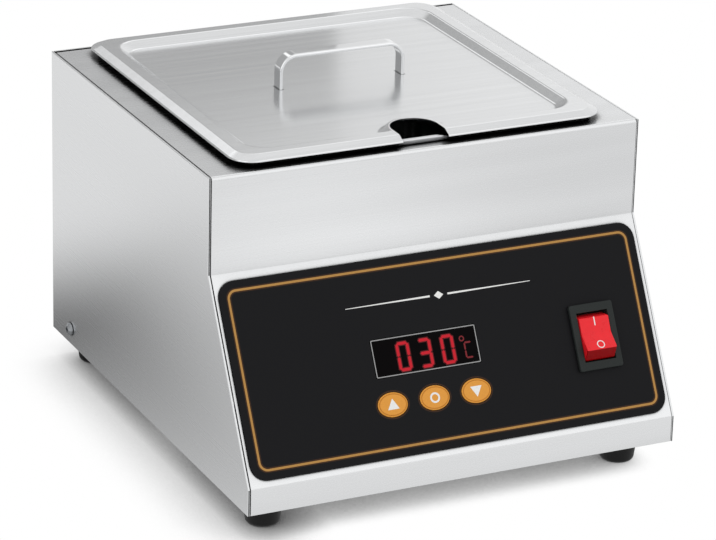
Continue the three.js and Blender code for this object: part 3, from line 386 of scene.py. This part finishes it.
def smooth_metal(name, base, roughness, grit=300.0, variation=0.05, dent=0.02):
    """Metal with an even finish: a fine mottle in tone and gloss at grit lines to the metre."""
    material, tree, shader = new_material(name)
    mottle = mottle_by(tree, shader, base, grit, 4.0, 1 - variation, 1.0)
    work_by(tree, shader, mottle, roughness * 0.85, roughness * 1.15, dent, 0.0002)
    shader.inputs["Metallic"].default_value = 1.0
    return material


def moulded(name, base, roughness, grit=900.0, variation=0.12, dent=0.15, specular=0.5):
    """Plastic, rubber, film or board: a fine grain in tone and height at grit lines to the metre."""
    material, tree, shader = new_material(name)
    grain = mottle_by(tree, shader, base, grit, 3.0, 1 - variation, 1 + variation)
    work_by(tree, shader, grain, roughness - 0.04, roughness + 0.04, dent, 0.0001)
    shader.inputs["Specular IOR Level"].default_value = specular
    return material


def ink(name, base, glow=0.0):
    """A printed or lit mark: a thin even layer with a slight speckle where the print is uneven."""
    material, tree, shader = new_material(name)
    mottle_by(tree, shader, base, 1200.0, 2.0, 0.9, 1.0)
    shader.inputs["Roughness"].default_value = 0.5
    shader.inputs["Specular IOR Level"].default_value = 0.2
    shader.inputs["Emission Color"].default_value = colour(base)
    shader.inputs["Emission Strength"].default_value = glow
    return material


# Stainless sheet: satin with fine lines along its length, as rolled and brushed at the mill; painted shade
# darkens it under the lid's edge and in seams
STEEL_ACROSS = brushed_steel("brushed_stainless_grain_across", 0, lines=0.008, dent=0.006, painted_shade_reach=0.0075,
                             streak=70.0, depth=0.06)
STEEL_SIDE = brushed_steel("brushed_stainless_grain_front_to_back", 1, lines=0.002, dent=0.0006, painted_shade_reach=0.002,
                           streak=14.0, depth=0.04, spread=0.006)
# The lid is pressed from brighter sheet, so it mirrors the handle softly
STEEL_LID = brushed_steel("brushed_stainless_lid", 0, base="#DFE0E1", roughness=0.17, anisotropic=0.6,
                          lines=0.05, dent=0.02, painted_shade_reach=0.0015, streak=220.0, depth=0.04)
# Handle strip and probe: polished, nearly a mirror
STEEL_BRIGHT = smooth_metal("polished_stainless", "#E2E3E4", 0.07, grit=120.0, variation=0.03, dent=0.01)
# Pan: bright drawn sheet with faint lines; painted shade darkens it under the lid's edge
STEEL_PAN = brushed_steel("bright_stainless_pan", 0, base="#D2D3D5", roughness=0.18, anisotropic=0.3,
                          lines=0.005, dent=0.003, painted_shade_reach=0.007)
# Zinc plate: duller and mottled
ZINC = smooth_metal("zinc_plated_steel", "#B4B7BA", 0.36, grit=500.0, variation=0.12, dent=0.05)
# Rolled aluminium: grey and softly dull; turned brass: yellow with a satin sheen
ALUMINIUM = smooth_metal("mill_aluminium", "#BFC1C4", 0.4, grit=400.0, variation=0.08)
BRASS = smooth_metal("turned_brass", "#C6A253", 0.32, grit=400.0, variation=0.08)
# Feet: moulded nitrile rubber, matt with a soft sheen
RUBBER = moulded("moulded_black_rubber", "#0C0C0C", 0.5, grit=700.0, dent=0.2, specular=0.2)
# Overlay: printed polyester film with a velvet face, nearly without gloss
FILM = moulded("printed_polyester_film", "#171719", 0.5, grit=2500.0, variation=0.08, dent=0.05,
               specular=0.08)
# Rocker housing and mains inlet: moulded nylon with a spark-eroded grain
NYLON = moulded("moulded_black_nylon", "#282C2B", 0.5, grit=1800.0, dent=0.2, specular=0.15)
NYLON_DARK = moulded("moulded_black_nylon_inlet", "#1D1E1F", 0.45, grit=1500.0, dent=0.3, specular=0.35)
# Keys: silicone rubber under a satin print
KEY_ORANGE = moulded("orange_silicone_rubber", "#E59C3A", 0.42, grit=1500.0, variation=0.04, dent=0.1,
                     specular=0.3)
# Rocker: glossy polycarbonate, coloured through; its low end, which faces down and away from the light, has a
# darker red: painted shade
ROCKER_RED = moulded("red_polycarbonate", "#F2202A", 0.3, grit=200.0, variation=0.04, dent=0.02,
                     specular=0.28)
ROCKER_RED_PAINTED_SHADE = moulded("red_polycarbonate_painted_shade", "#92070C", 0.3, grit=200.0, variation=0.04, dent=0.02,
                      specular=0.06)
# Window: smoked acrylic, dark and smooth
WINDOW = moulded("smoked_acrylic", "#050304", 0.12, grit=200.0, variation=0.1, dent=0.0, specular=0.03)
# Boards: woven glass under green solder mask; heating mat: matt orange silicone; blanket: pale loose fibre
BOARD = moulded("solder_masked_glass_fibre", "#1F5A35", 0.45, grit=900.0)
HEATER = moulded("silicone_heater_mat", "#B4512A", 0.6, grit=1200.0, dent=0.3)
WOOL = moulded("glass_wool_blanket", "#E6E2D6", 0.95, grit=260.0, variation=0.15, dent=0.9, specular=0.1)
# Inks: dull and opaque, as screen printed; the digits' ones glow, and the white one glows faintly too, as
# painted light. The burnt orange one is no print but painted shade round the edge of the keys' tops
GOLD_INK = ink("gold_screen_ink", "#BC8C4A")
BROWN_INK = ink("dark_brown_screen_ink", "#3A220E")
KEY_PAINTED_EDGE_SHADE = ink("burnt_orange_painted_edge_shade", "#C47C22")
# The white ink glows faintly, so that its marks stay bright: painted light
WHITE_INK_PAINTED_GLOW = ink("white_screen_ink_painted_glow", "#F0F0EE", glow=0.05)
GREY_INK = ink("grey_screen_ink", "#A4A4A4")
LED_RED = ink("lit_red_digit", "#AC1020", glow=0.45)
LED_HALO = ink("red_digit_halo", "#50080E", glow=0.3)
LED_DIM = ink("dim_red_digit", "#6A1A20", glow=0.35)


# Shapes


def closed_mesh(name, points, faces):
    """A mesh from points in millimetres, turned so that its volume is positive."""
    mesh = bpy.data.meshes.new(name)
    mesh.from_pydata((np.asarray(points) * MM).tolist(), [], faces)
    shell = bmesh.new()
    shell.from_mesh(mesh)
    if shell.calc_volume(signed=True) < 0:
        bmesh.ops.reverse_faces(shell, faces=shell.faces)
    shell.to_mesh(mesh)
    shell.free()
    return mesh


def make_piece(name, points, faces, material, body, stands_for=(), slot=None, smooth=SHARP):
    """A closed piece that rides on a body and takes the place of the solids it stands for, which are hidden;
    slot is not used.
    """
    mesh = closed_mesh(name, points, faces)
    mesh.materials.append(material)
    mesh.shade_smooth()
    mesh.set_sharp_from_angle(angle=math.radians(smooth))
    piece = bpy.data.objects.new(name, mesh)
    bpy.context.scene.collection.objects.link(piece)
    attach(piece, body)
    if stands_for:
        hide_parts(*stands_for)
    return piece


def even_shading(piece):
    """Lets large flat faces set the shading at their edges, so that it bends only on the bends."""
    weighted = piece.modifiers.new("even_shading", "WEIGHTED_NORMAL")
    weighted.keep_sharp = True
    weighted.weight = 100


def deburr(piece, width):
    """Rounds a piece's sharp edges by a width in millimetres and shades it evenly."""
    rounding = piece.modifiers.new("deburred_edges", "BEVEL")
    rounding.width, rounding.segments, rounding.limit_method = width * MM, 2, "ANGLE"
    rounding.angle_limit = math.radians(50)
    piece.data.set_sharp_from_angle(angle=math.radians(SHARP))
    even_shading(piece)


def cut(piece, points, faces):
    """Takes a closed solid out of a piece and bakes the result into its mesh."""
    cutter = bpy.data.objects.new("cutter", closed_mesh("cutter", points, faces))
    bpy.context.scene.collection.objects.link(cutter)
    take = piece.modifiers.new("cut", "BOOLEAN")
    take.object, take.operation, take.solver = cutter, "DIFFERENCE", "EXACT"
    bpy.context.view_layer.update()
    graph = bpy.context.evaluated_depsgraph_get()
    done = bpy.data.meshes.new_from_object(piece.evaluated_get(graph))
    piece.modifiers.remove(take)
    piece.data = done
    bpy.data.objects.remove(cutter)


def stacked(rings):
    """Rings (rows, columns, 3) joined row to row, with a flat face over the first and the last."""
    rows, columns = rings.shape[:2]
    index = np.arange(rows * columns).reshape(rows, columns)
    ahead = np.roll(index, -1, axis=1)
    walls = np.stack([index[:-1], ahead[:-1], ahead[1:], index[1:]], axis=-1).reshape(-1, 4)
    return rings.reshape(-1, 3), [*walls.tolist(), index[0][::-1].tolist(), index[-1].tolist()]


def looped(rings):
    """Rings (rows, columns, 3) joined row to row, and the last row to the first."""
    rows, columns = rings.shape[:2]
    index = np.arange(rows * columns).reshape(rows, columns)
    ahead, below = np.roll(index, -1, axis=1), np.roll(index, -1, axis=0)
    both = np.roll(below, -1, axis=1)
    return rings.reshape(-1, 3), np.stack([index, ahead, both, below], axis=-1).reshape(-1, 4).tolist()


def at_levels(outline, levels):
    """A flat outline of (x, y) points repeated at each level, as rings."""
    return np.stack([np.column_stack([outline, np.full(len(outline), level)]) for level in levels])


def bent_path(corners, steps=8, closed=False):
    """A line through (a, b, radius) corners: each becomes an arc of its radius that meets both sides."""
    points = []
    count = len(corners)
    for i, (a, b, radius) in enumerate(corners):
        here = np.array([a, b], float)
        if radius == 0 or (not closed and i in (0, count - 1)):
            points.append(here[None])
            continue
        before = np.array(corners[i - 1][:2], float) - here
        after = np.array(corners[(i + 1) % count][:2], float) - here
        before, after = before / np.linalg.norm(before), after / np.linalg.norm(after)
        half = math.acos(np.clip(before @ after, -1, 1)) / 2
        middle = here + (before + after) / np.linalg.norm(before + after) * radius / math.sin(half)
        start = here + before * radius / math.tan(half) - middle
        turn = math.pi - 2 * half
        side = np.sign(before[1] * after[0] - before[0] * after[1])
        angle = side * np.linspace(0, turn, steps + 1)[:, None]
        across = np.array([-start[1], start[0]])
        points.append(middle + start * np.cos(angle) + across * np.sin(angle))
    return np.concatenate(points)


def left_normals(path):
    """The left-hand normal at each point of an open path, square to the chord between its neighbours."""
    chord = np.gradient(path, axis=0)
    normal = np.stack([-chord[:, 1], chord[:, 0]], axis=1)
    return normal / np.linalg.norm(normal, axis=1, keepdims=True)


CORNER_STEPS = 14


def rounded_rings(half_x, half_y, corner, height, steps=CORNER_STEPS, centre=(0.0, WELL_Y)):
    """Rounded rectangles stacked by height: each quarter is a centre plus radius times (cos, sin)."""
    sizes = (np.asarray(v, float) for v in np.broadcast_arrays(half_x, half_y, corner, height))
    a, b, r, z = (v.reshape(-1, 1, 1) for v in sizes)
    angle = np.arange(4)[:, None] * math.pi / 2 + np.linspace(0, math.pi / 2, steps + 1)
    side_x, side_y = np.array([1, -1, -1, 1])[:, None], np.array([1, 1, -1, -1])[:, None]
    x = centre[0] + side_x * (a - r) + r * np.cos(angle)
    y = centre[1] + side_y * (b - r) + r * np.sin(angle)
    return np.stack([x, y, np.broadcast_to(z, x.shape)], axis=-1).reshape(len(a), -1, 3)


def oval_rings(half_x, half_y, height, steps=64, centre=(0.0, 0.0)):
    """Ellipses stacked by height: centre plus (a cos t, b sin t)."""
    sizes = (np.asarray(v, float) for v in np.broadcast_arrays(half_x, half_y, height))
    a, b, z = (v[:, None] for v in sizes)
    t = np.linspace(0, 2 * math.pi, steps, endpoint=False)
    x, y = centre[0] + a * np.cos(t), centre[1] + b * np.sin(t)
    return np.stack([x, y, np.broadcast_to(z, x.shape)], axis=-1)


def flat_rectangle(width, height, corner, centre, steps=12):
    """The outline of a rounded rectangle."""
    return rounded_rings(width / 2, height / 2, corner, [0.0], steps, centre)[0, :, :2]


def flat_oval(width, height, centre, steps=48):
    """The outline of an ellipse."""
    return oval_rings(width / 2, height / 2, [0.0], steps, centre)[0, :, :2]


def on_face(points):
    """Points (x, up, outward) of the slanted face as machine points: turned up about its lower bend."""
    x, up, out = np.moveaxis(np.asarray(points, float), -1, 0)
    y = FRONT_Y + up * math.cos(SLANT) - out * math.sin(SLANT)
    z = LIP_Z + up * math.sin(SLANT) + out * math.cos(SLANT)
    return np.stack([x, y, z], axis=-1)


# Housing


def side_profile(inward=0.0):
    """The housing's front, in (y, z): lip, slanted face, band and deck, moved inwards by a thickness."""
    slope = math.tan(SLANT)
    shift = inward / math.sin(SLANT)

    def slant_z(y):
        """The slanted face's height at a depth."""
        return LIP_Z + (y - FRONT_Y - shift) * slope

    lip, band, rear = FRONT_Y + inward, BAND_Y + inward, REAR_Y - REAR_GAP - inward
    radius = BEND - inward / 2
    return bent_path([
        (lip, BASE_Z + inward, 0.6),
        (lip, slant_z(lip), radius),
        (band, slant_z(band), radius),
        (band, DECK_Z - inward, radius),
        (rear, DECK_Z - inward, radius),
        (rear, DECK_Z - FLANGE, 0.0),
    ])


def front_shell():
    """One folded sheet: the outer and inner side lines closed into a ribbon, carried across the machine."""
    under = np.array([[FRONT_Y + FLANGE, BASE_Z + SHEET], [FRONT_Y + FLANGE, BASE_Z]])
    ribbon = np.concatenate([side_profile(), side_profile(SHEET)[::-1], under])
    rings = np.stack([np.column_stack([np.full(len(ribbon), x), ribbon]) for x in SHELL_ENDS])
    piece = make_piece("front_shell_folded", *stacked(rings), STEEL_ACROSS, "housing", ["front_shell"],
                       "brushed_steel")
    cut(piece, *stacked(rounded_rings(*WELL_OPENING, [DECK_Z - 6, DECK_Z + 6])))
    through = [-7.0, 6.0]
    for opening, centre in ((WINDOW_OPENING, DISPLAY[:2]), (ROCKER_OPENING, ROCKER)):
        cut(piece, *stacked(on_face(rounded_rings(*opening, through, 4, centre))))
    for x in KEYS.values():
        cut(piece, *stacked(on_face(oval_rings(STEM_HOLE, STEM_HOLE, through, 24, (x, KEY_UP)))))
    deburr(piece, 0.25)


def foot(name, place):
    """A turned rubber foot: its profile of (radius, height) points swept round its own axis."""
    bore, sink, sink_top, top = 2.4, 5, 6, 17.2
    profile = bent_path([(bore, top, 0), (10.8, top, 0.4), (8.8, 0, 2.4), (sink, 0, 0.5), (sink, sink_top, 0),
                         (bore, sink_top, 0)], closed=True)
    t = np.linspace(0, 2 * math.pi, 72, endpoint=False)
    radius, height = profile[:, 0, None], profile[:, 1, None]
    rings = np.stack([place[0] + radius * np.cos(t), place[1] + radius * np.sin(t),
                      np.broadcast_to(height, (len(profile), len(t)))], axis=-1)
    make_piece(f"{name}_moulded", *looped(rings), RUBBER, "housing", [name], "black_rubber")


# Pan, lid and handle


def pan_skin(inset, floor_round):
    """The pan's wall moved inwards: rounded rectangles that shrink with depth, then a quarter circle."""
    half_x, half_y, corner = PAN_WALL
    straight, top_rows = 4, 1
    turn = np.linspace(0, math.pi / 2, 10)[1:]
    depth = np.concatenate([[0.0], np.linspace(8, PAN_HEIGHT - floor_round - inset, straight),
                            PAN_HEIGHT - inset - floor_round * (1 - np.sin(turn))])
    pull = np.concatenate([np.zeros(straight + top_rows), floor_round * (1 - np.cos(turn))])
    shrink = inset + pull + PAN_TAPER * depth / PAN_HEIGHT
    radius = np.maximum(corner - inset - pull, 0.6)
    low = PAN_TOP_Z - PAN_HEIGHT + inset
    return rounded_rings(half_x - shrink, half_y - shrink, radius, np.maximum(PAN_TOP_Z - depth, low))


def pan():
    """A pressed pan: outer skin, a rim turned down round its edge, a rounded shoulder and the inner skin."""
    outside, inside = pan_skin(0.0, PAN_FLOOR_ROUND), pan_skin(PAN_SHEET, PAN_FLOOR_ROUND - PAN_SHEET)
    outside[0, :, 2] = PAN_TOP_Z - PAN_SHEET
    rim_x, rim_y, rim_corner = PAN_RIM
    sheet, low = PAN_SHEET, -PAN_TURN
    lip = np.array([[sheet, 0], [sheet, 0.15 + low], [sheet - 0.2, low], [0.25, low], [0, 0.25 + low],
                    [0, sheet - 0.6], [0.08, sheet - 0.3], [0.3, sheet - 0.08], [0.6, sheet]])
    inset, level = lip.T
    edge = rounded_rings(rim_x - inset, rim_y - inset, rim_corner - inset, PAN_TOP_Z - sheet + level)
    half_x, half_y, corner = PAN_WALL
    inset, level = (np.array([[0.0, 1.0], [0.3, 0.3], [1.0, 0.0]]) * PAN_SHOULDER).T
    out = PAN_SHOULDER - sheet - inset
    shoulder = rounded_rings(half_x + out, half_y + out, corner + out, PAN_TOP_Z - PAN_SHOULDER + level)
    rings = np.concatenate([outside[::-1], edge, shoulder, inside[1:]])
    piece = make_piece("tempering_pan_pressed", *stacked(rings), STEEL_PAN, "pan", ["tempering_pan"],
                       "polished_steel")
    even_shading(piece)


def lid_line():
    """The lid's wall as a closed (inset, height) line, from the floor out over the edge and back beneath.

    Gives the line, and how many of its points lie on top.
    """
    floor_insets = (44.0, 40.0, 36.0, *np.arange(32.5, 17, -0.75))
    top = bent_path([
        *((inset, LID_FLOOR_Z, 0) for inset in floor_insets),
        (LID_BORDER + LID_RECESS_RUN, LID_FLOOR_Z, 3.0),
        (LID_BORDER, LID_TOP_Z, 2.2),
        (LID_EDGE_RUN, LID_TOP_Z, 1.3),
        (0.0, LID_LOW_Z + 0.7, 0.8),
        (0.0, LID_LOW_Z, 0.0),
    ], steps=6)
    under = (top + LID_SHEET * left_normals(top))[::-1]
    under = under[under[:, 0] > 2.6]
    hem_top = LID_LOW_Z + LID_SHEET
    hem = np.array([[LID_HEM, LID_LOW_Z], [LID_HEM, hem_top], [LID_HEM_CORNER, hem_top]])
    return np.concatenate([top, hem, under]), len(top)


def lid():
    """A pressed lid: the wall's line gives each ring, and the corner radius follows the inset.

    Round the notch the sunken floor comes up to the border's level over a smooth step of its distance.
    """
    line, top_count = lid_line()
    inset, height = line.T
    runs = [0, LID_EDGE_RUN, LID_BORDER, LID_BORDER + LID_RECESS_RUN, 30]
    corner = np.interp(inset, runs, [13, 9.2, 14.5, 11, 6])
    rings = rounded_rings(LID[0] - inset, LID[1] - inset, corner, height)

    # The front side lies between the third and the fourth corner's columns: it gets columns of its own, which
    # crowd together at the notch
    step = np.linspace(-1, 1, FRONT_COLUMNS + 2)[1:-1, None]
    share = 0.5 + 0.5 * (0.25 * step + 0.75 * step**3)
    fourth = 3 * (CORNER_STEPS + 1)
    front = rings[:, fourth - 1, None] * (1 - share) + rings[:, fourth, None] * share
    rings = np.concatenate([rings[:, :fourth], front, rings[:, fourth:]], axis=1)

    # The raised lip, for points inside the border
    half, deep = NOTCH[0] / 2, NOTCH[1] - LID[1]
    past = np.maximum(rings[..., 1] - (WELL_Y + deep - half), 0)
    away = np.hypot(rings[..., 0], past) - half
    near = np.clip((LIP_END - away) / (LIP_END - LIP_LEVEL), 0, 1)
    lift = near**2 * (3 - 2 * near)
    is_under = np.arange(len(line)) >= top_count
    level = LID_TOP_Z - np.where(is_under, LID_SHEET, 0)[:, None]
    rings[..., 2] += np.where((inset > LIP_INSET)[:, None], (level - rings[..., 2]) * lift, 0)
    piece = make_piece("lid_pressed", *stacked(rings), STEEL_LID, "lid", ["lid"], "polished_steel")

    end_round, open_end = half * 0.98, -LID[1] - 5
    notch = bent_path([(-half, open_end, 0), (half, open_end, 0), (half, deep, end_round),
                       (-half, deep, end_round)], steps=18, closed=True)
    cut(piece, *stacked(at_levels(notch + [0, WELL_Y], [LID_FLOOR_Z - 8, LID_TOP_Z + 8])))
    deburr(piece, 0.2)


def lid_handle():
    """A polished strip: a rounded rectangle carried along a line that rises, bends over and comes down."""
    width, thick = STRIP
    half, top = HANDLE_SPAN / 2 - thick / 2, LID_FLOOR_Z + HANDLE_HEIGHT - thick / 2
    foot_z = LID_FLOOR_Z + 0.02
    path = bent_path([(-half, foot_z, 0), (-half, top, HANDLE_BEND), (half, top, HANDLE_BEND),
                      (half, foot_z, 0)], 16)
    corners = ((-1, -1), (1, -1), (1, 1), (-1, 1))
    section = bent_path([(a * width / 2, b * thick / 2, STRIP_EDGE) for a, b in corners], 7, closed=True)
    points = path[:, None] + left_normals(path)[:, None] * section[:, 1, None]
    y = np.broadcast_to(WELL_Y + section[:, 0], points.shape[:2])
    rings = np.stack([points[..., 0], y, points[..., 1]], axis=-1)
    piece = make_piece("lid_handle_bent", *stacked(rings), STEEL_BRIGHT, "lid", ["lid_handle"],
                       "polished_steel", smooth=50)
    even_shading(piece)


# Controls

# How far a mark's underside stands off what it is printed on
OFF = 0.005


def raised_mark(name, outline, level, material, body, thick=0.04, place=on_face):
    """A flat printed shape: its outline lifted by the ink's thickness."""
    return make_piece(name, *stacked(place(at_levels(outline, (level + OFF, level + thick)))), material, body)


def ring_mark(name, outer, inner, level, material, body, thick=0.04, place=on_face):
    """A printed line: the band between two outlines, lifted by the ink's thickness."""
    low, high = level + OFF, level + thick
    rows = [(outer, low), (outer, high), (inner, high), (inner, low)]
    rings = np.stack([np.column_stack([line, np.full(len(line), z)]) for line, z in rows])
    return make_piece(name, *looped(place(rings)), material, body)


def overlay_print():
    """The gold line with its brown shade, the window's grey line, the keys' dark rims and a plain rule."""
    half_width, low, high = OVERLAY

    def line(inset, corner):
        """The overlay's outline drawn in by an inset."""
        size = (2 * (half_width - inset), high - low - 2 * inset)
        return flat_rectangle(*size, corner, (0.0, (low + high) / 2), 16)

    ring_mark("gold_line_shade", line(GOLD_INSET - 0.55, 5.2), line(GOLD_INSET + 1.95, 3.2), FILM_TOP,
              BROWN_INK, "housing", 0.02)
    ring_mark("gold_line", line(GOLD_INSET + 0.1, 4.8), line(GOLD_INSET + 1.25, 3.7), FILM_TOP, GOLD_INK,
              "housing")
    x, up, width, tall = DISPLAY
    ring_mark("window_line", flat_rectangle(width - 0.3, tall - 0.3, 0.7, (x, up)),
              flat_rectangle(width - 1.3, tall - 1.3, 0.3, (x, up)), FILM_TOP, GREY_INK, "housing")
    for name, key_x in KEYS.items():
        place = (key_x, KEY_UP)
        outer, inner = (flat_oval(KEY_SIZE[0] + grow, KEY_SIZE[1] + grow, place) for grow in (2.0, 0.7))
        ring_mark(f"key_rim_{name}", outer, inner, FILM_TOP, BROWN_INK, "housing")
    for side, name in ((-1, "left"), (1, "right")):
        ends = np.array([[5.0, 0.48], [52.0, 0.15], [52.0, -0.15], [5.0, -0.48]]) * [side, 1]
        raised_mark(f"plain_rule_{name}", ends + RULE, FILM_TOP, WHITE_INK_PAINTED_GLOW, "housing")
    lozenge = np.array([[2.6, 0], [0, 2.0], [-2.6, 0], [0, -2.0]])
    raised_mark("plain_rule_lozenge", lozenge + RULE, FILM_TOP, WHITE_INK_PAINTED_GLOW, "housing")


SEGMENTS = {  # each bar's middle and direction as shares of the digit's width and height
    "top": (0.5, 1.0, 0), "middle": (0.5, 0.5, 0), "low": (0.5, 0.0, 0),
    "high_left": (0.0, 0.75, 1), "low_left": (0.0, 0.25, 1),
    "high_right": (1.0, 0.75, 1), "low_right": (1.0, 0.25, 1),
}
ZERO = ["top", "low", "high_left", "low_left", "high_right", "low_right"]
THREE = ["top", "middle", "low", "high_right", "low_right"]
LETTER_C = ["top", "low", "high_left", "low_left"]


def digit(name, lit, left, low, size, bar, material, grow=0.0, thick=0.05):
    """A seven-bar digit: each bar is a long hexagon between the corners of the digit's box."""
    span = (size[0] - bar, size[1] - bar)
    for part in lit:
        share_x, share_y, upright = SEGMENTS[part]
        centre = np.array([left + bar / 2 + share_x * span[0], low + bar / 2 + share_y * span[1]])
        reach = (span[1] / 2 if upright else span[0]) / 2 - 0.04
        w = bar / 2
        hexagon = np.array([[reach, 0], [reach - w, w], [w - reach, w],
                            [-reach, 0], [w - reach, -w], [reach - w, -w]])
        if upright:
            hexagon = hexagon[:, ::-1] * [1, -1]
        hexagon = hexagon + grow * np.sign(hexagon)
        raised_mark(f"{name}_{part}", centre + hexagon, FILM_TOP, material, "housing", thick)


def display_digits():
    """Three lit digits with a faint halo, and the dim sign of degrees behind them."""
    for count, left, lit in zip(("one", "two", "three"), DIGITS_LEFT, (ZERO, THREE, ZERO)):
        name = f"digit_{count}"
        digit(f"{name}_halo", lit, left, DIGITS_LOW, DIGIT_SIZE, DIGIT_BAR, LED_HALO, grow=0.5, thick=0.02)
        digit(name, lit, left, DIGITS_LOW, DIGIT_SIZE, DIGIT_BAR, LED_RED)
    ring_mark("degree_ring", flat_oval(3.0, 3.0, DEGREE), flat_oval(1.7, 1.7, DEGREE), FILM_TOP, LED_DIM,
              "housing")
    digit("degree_letter", LETTER_C, 9.3, 46.6, (4.6, 8.6), 0.9, LED_DIM)


def key_cap(name, x):
    """A low oval cap: its edge follows a quarter circle into a nearly flat top."""
    half_x, half_y = KEY_SIZE[0] / 2, KEY_SIZE[1] / 2
    t = np.linspace(0, math.pi / 2, 7)
    inset = np.concatenate([[0.15, 0.0], KEY_ROUND * (1 - np.cos(t)), [2.5]])
    edge = KEY_TOP - 0.05 - KEY_ROUND * (1 - np.sin(t))
    level = np.concatenate([[KEY_LOW, KEY_LOW + 0.12], edge, [KEY_TOP]])
    rings = on_face(oval_rings(half_x - inset, half_y - inset, level, 64, (x, KEY_UP)))
    piece = make_piece(f"key_{name}_cap", *stacked(rings), KEY_ORANGE, f"{name}_key", [f"key_{name}"],
                       "orange_plastic")
    even_shading(piece)
    # A darker orange ring round the edge of the top: painted shade where the cap rounds over
    outer, inner = (flat_oval(KEY_SIZE[0] - drawn, KEY_SIZE[1] - drawn, (x, KEY_UP)) for drawn in (1.3, 2.2))
    ring_mark(f"key_{name}_edge", outer, inner, KEY_TOP - 0.03, KEY_PAINTED_EDGE_SHADE, f"{name}_key")


def keys():
    """Three caps with plain white signs: a triangle up, a ring, a triangle down."""
    for name, x in KEYS.items():
        key_cap(name, x)
    up = np.array([[-3.2, -2.4], [3.2, -2.4], [0, 3.1]])
    raised_mark("sign_up", up + [KEYS["up"], KEY_UP], KEY_TOP, WHITE_INK_PAINTED_GLOW, "up_key")
    raised_mark("sign_down", up * [1, -1] + [KEYS["down"], KEY_UP], KEY_TOP, WHITE_INK_PAINTED_GLOW, "down_key")
    outer, inner = (flat_oval(size, size, (KEYS["set"], KEY_UP)) for size in (5.4, 3.5))
    ring_mark("sign_ring", outer, inner, KEY_TOP, WHITE_INK_PAINTED_GLOW, "set_key")


def on_rocker(points):
    """Points of the tilted rocker's own frame as machine points: turned about its pins, laid on the face."""
    x, along, out = np.moveaxis(np.asarray(points, float), -1, 0)
    up = along * math.cos(ROCKER_TILT) - out * math.sin(ROCKER_TILT)
    level = along * math.sin(ROCKER_TILT) + out * math.cos(ROCKER_TILT)
    return on_face(np.stack([x + ROCKER[0], up + ROCKER[1], level + ROCKER_PIVOT], axis=-1))


def on_slope(points):
    """Points (x, along, lift) on the rocker's two slopes as machine points, lifted off them."""
    x, along, lift = np.moveaxis(np.asarray(points, float), -1, 0)
    return on_rocker(np.stack([x, along, ROCKER_SADDLE + np.abs(along) * ROCKER_SLOPE + lift], axis=-1))


def rocker():
    """A rocker: the side line of two leaning ends and two shallow slopes, carried across its width."""
    arc = np.linspace(-math.asin(2 / ROCKER_END_RADIUS), math.radians(4), 8)
    end = ROCKER_END_RADIUS * np.column_stack([np.cos(arc), np.sin(arc)])
    crest_x, crest_z = ROCKER_CREST
    crests = bent_path([(*end[-1], 0), (crest_x, crest_z, 0.5), (0, ROCKER_SADDLE, 6.0),
                        (-crest_x, crest_z, 0.5), (-end[-1][0], end[-1][1], 0)], 6)
    side = np.concatenate([end[:-1], crests, end[:-1][::-1] * [-1, 1]])

    # Each side edge is a quarter circle: the line is drawn in toward its middle as it nears the side
    t = np.linspace(0, math.pi / 2, 5)
    in_x, pull = ROCKER_EDGE * (1 - np.cos(t)), ROCKER_EDGE * (1 - np.sin(t))
    across = np.concatenate([in_x - ROCKER_HALF_WIDTH, (ROCKER_HALF_WIDTH - in_x)[::-1]])
    from_middle = side - [0.0, 1.5]
    toward = from_middle / np.linalg.norm(from_middle, axis=1, keepdims=True)
    rings = np.stack([np.column_stack([np.full(len(side), x), side - toward * drawn])
                      for x, drawn in zip(across, [*pull, *pull[::-1]])])
    piece = make_piece("rocker_moulded", *stacked(on_rocker(rings)), ROCKER_RED, "power_rocker", ["rocker"],
                       "red_plastic", smooth=40)

    # The low end's faces are the last columns of each row; they take the darker red of the painted shade
    piece.data.materials.append(ROCKER_RED_PAINTED_SHADE)
    columns = len(side)
    for face in piece.data.polygons:
        column = np.array(face.vertices) % columns
        if len(column) == 4 and column.min() >= columns - len(end) - 2:
            face.material_index = 1
    even_shading(piece)

    bar = np.array([[0.3, -2.2], [0.3, 2.2], [-0.3, 2.2], [-0.3, -2.2]]) + [0.0, 6.6]
    raised_mark("mark_on", bar, 0.03, WHITE_INK_PAINTED_GLOW, "power_rocker", 0.06, on_slope)
    outer, inner = (flat_oval(size, size, (0, -6.0)) for size in (4.3, 3.3))
    ring_mark("mark_off", outer, inner, 0.03, WHITE_INK_PAINTED_GLOW, "power_rocker", 0.06, on_slope)


# Carried-over parts and their finishes

FINISHES = {
    "side_panel_left": STEEL_SIDE, "side_panel_right": STEEL_SIDE, "rear_panel": STEEL_ACROSS,
    "base_plate": ZINC, "well_tank": ZINC, "heater_clamp": ALUMINIUM, "heat_sink": ALUMINIUM,
    "heating_mat": HEATER, "insulation_blanket": WOOL, "temperature_probe": STEEL_BRIGHT,
    "thermal_cutout": NYLON_DARK, "control_overlay": FILM, "display_window": WINDOW,
    "display_module": NYLON_DARK, "control_board": BOARD, "power_board": BOARD, "rocker_housing": NYLON,
    "power_inlet": NYLON_DARK, "transformer": NYLON_DARK, "relay": NYLON_DARK, "terminal_block": NYLON_DARK,
    "earth_stud": BRASS,
}
FAMILIES = {
    "side_screw": ZINC, "rear_screw": ZINC, "foot_screw": ZINC, "board_standoff": ZINC,
    "key_switch": NYLON_DARK, "rocker_terminal": BRASS, "inlet_pin": BRASS,
}


def finish_nodes():
    """Gives every carried-over part the finish of the real one."""
    for name, node in nodes.items():
        family = next((FAMILIES[f] for f in FAMILIES if name.startswith(f)), None)
        material = FINISHES.get(name, family)
        if material is not None:
            node.data.materials.clear()
            node.data.materials.append(material)


finish_nodes()
front_shell()
for foot_name, foot_place in FEET.items():
    foot(foot_name, foot_place)
pan()
lid()
lid_handle()
overlay_print()
display_digits()
keys()
rocker()
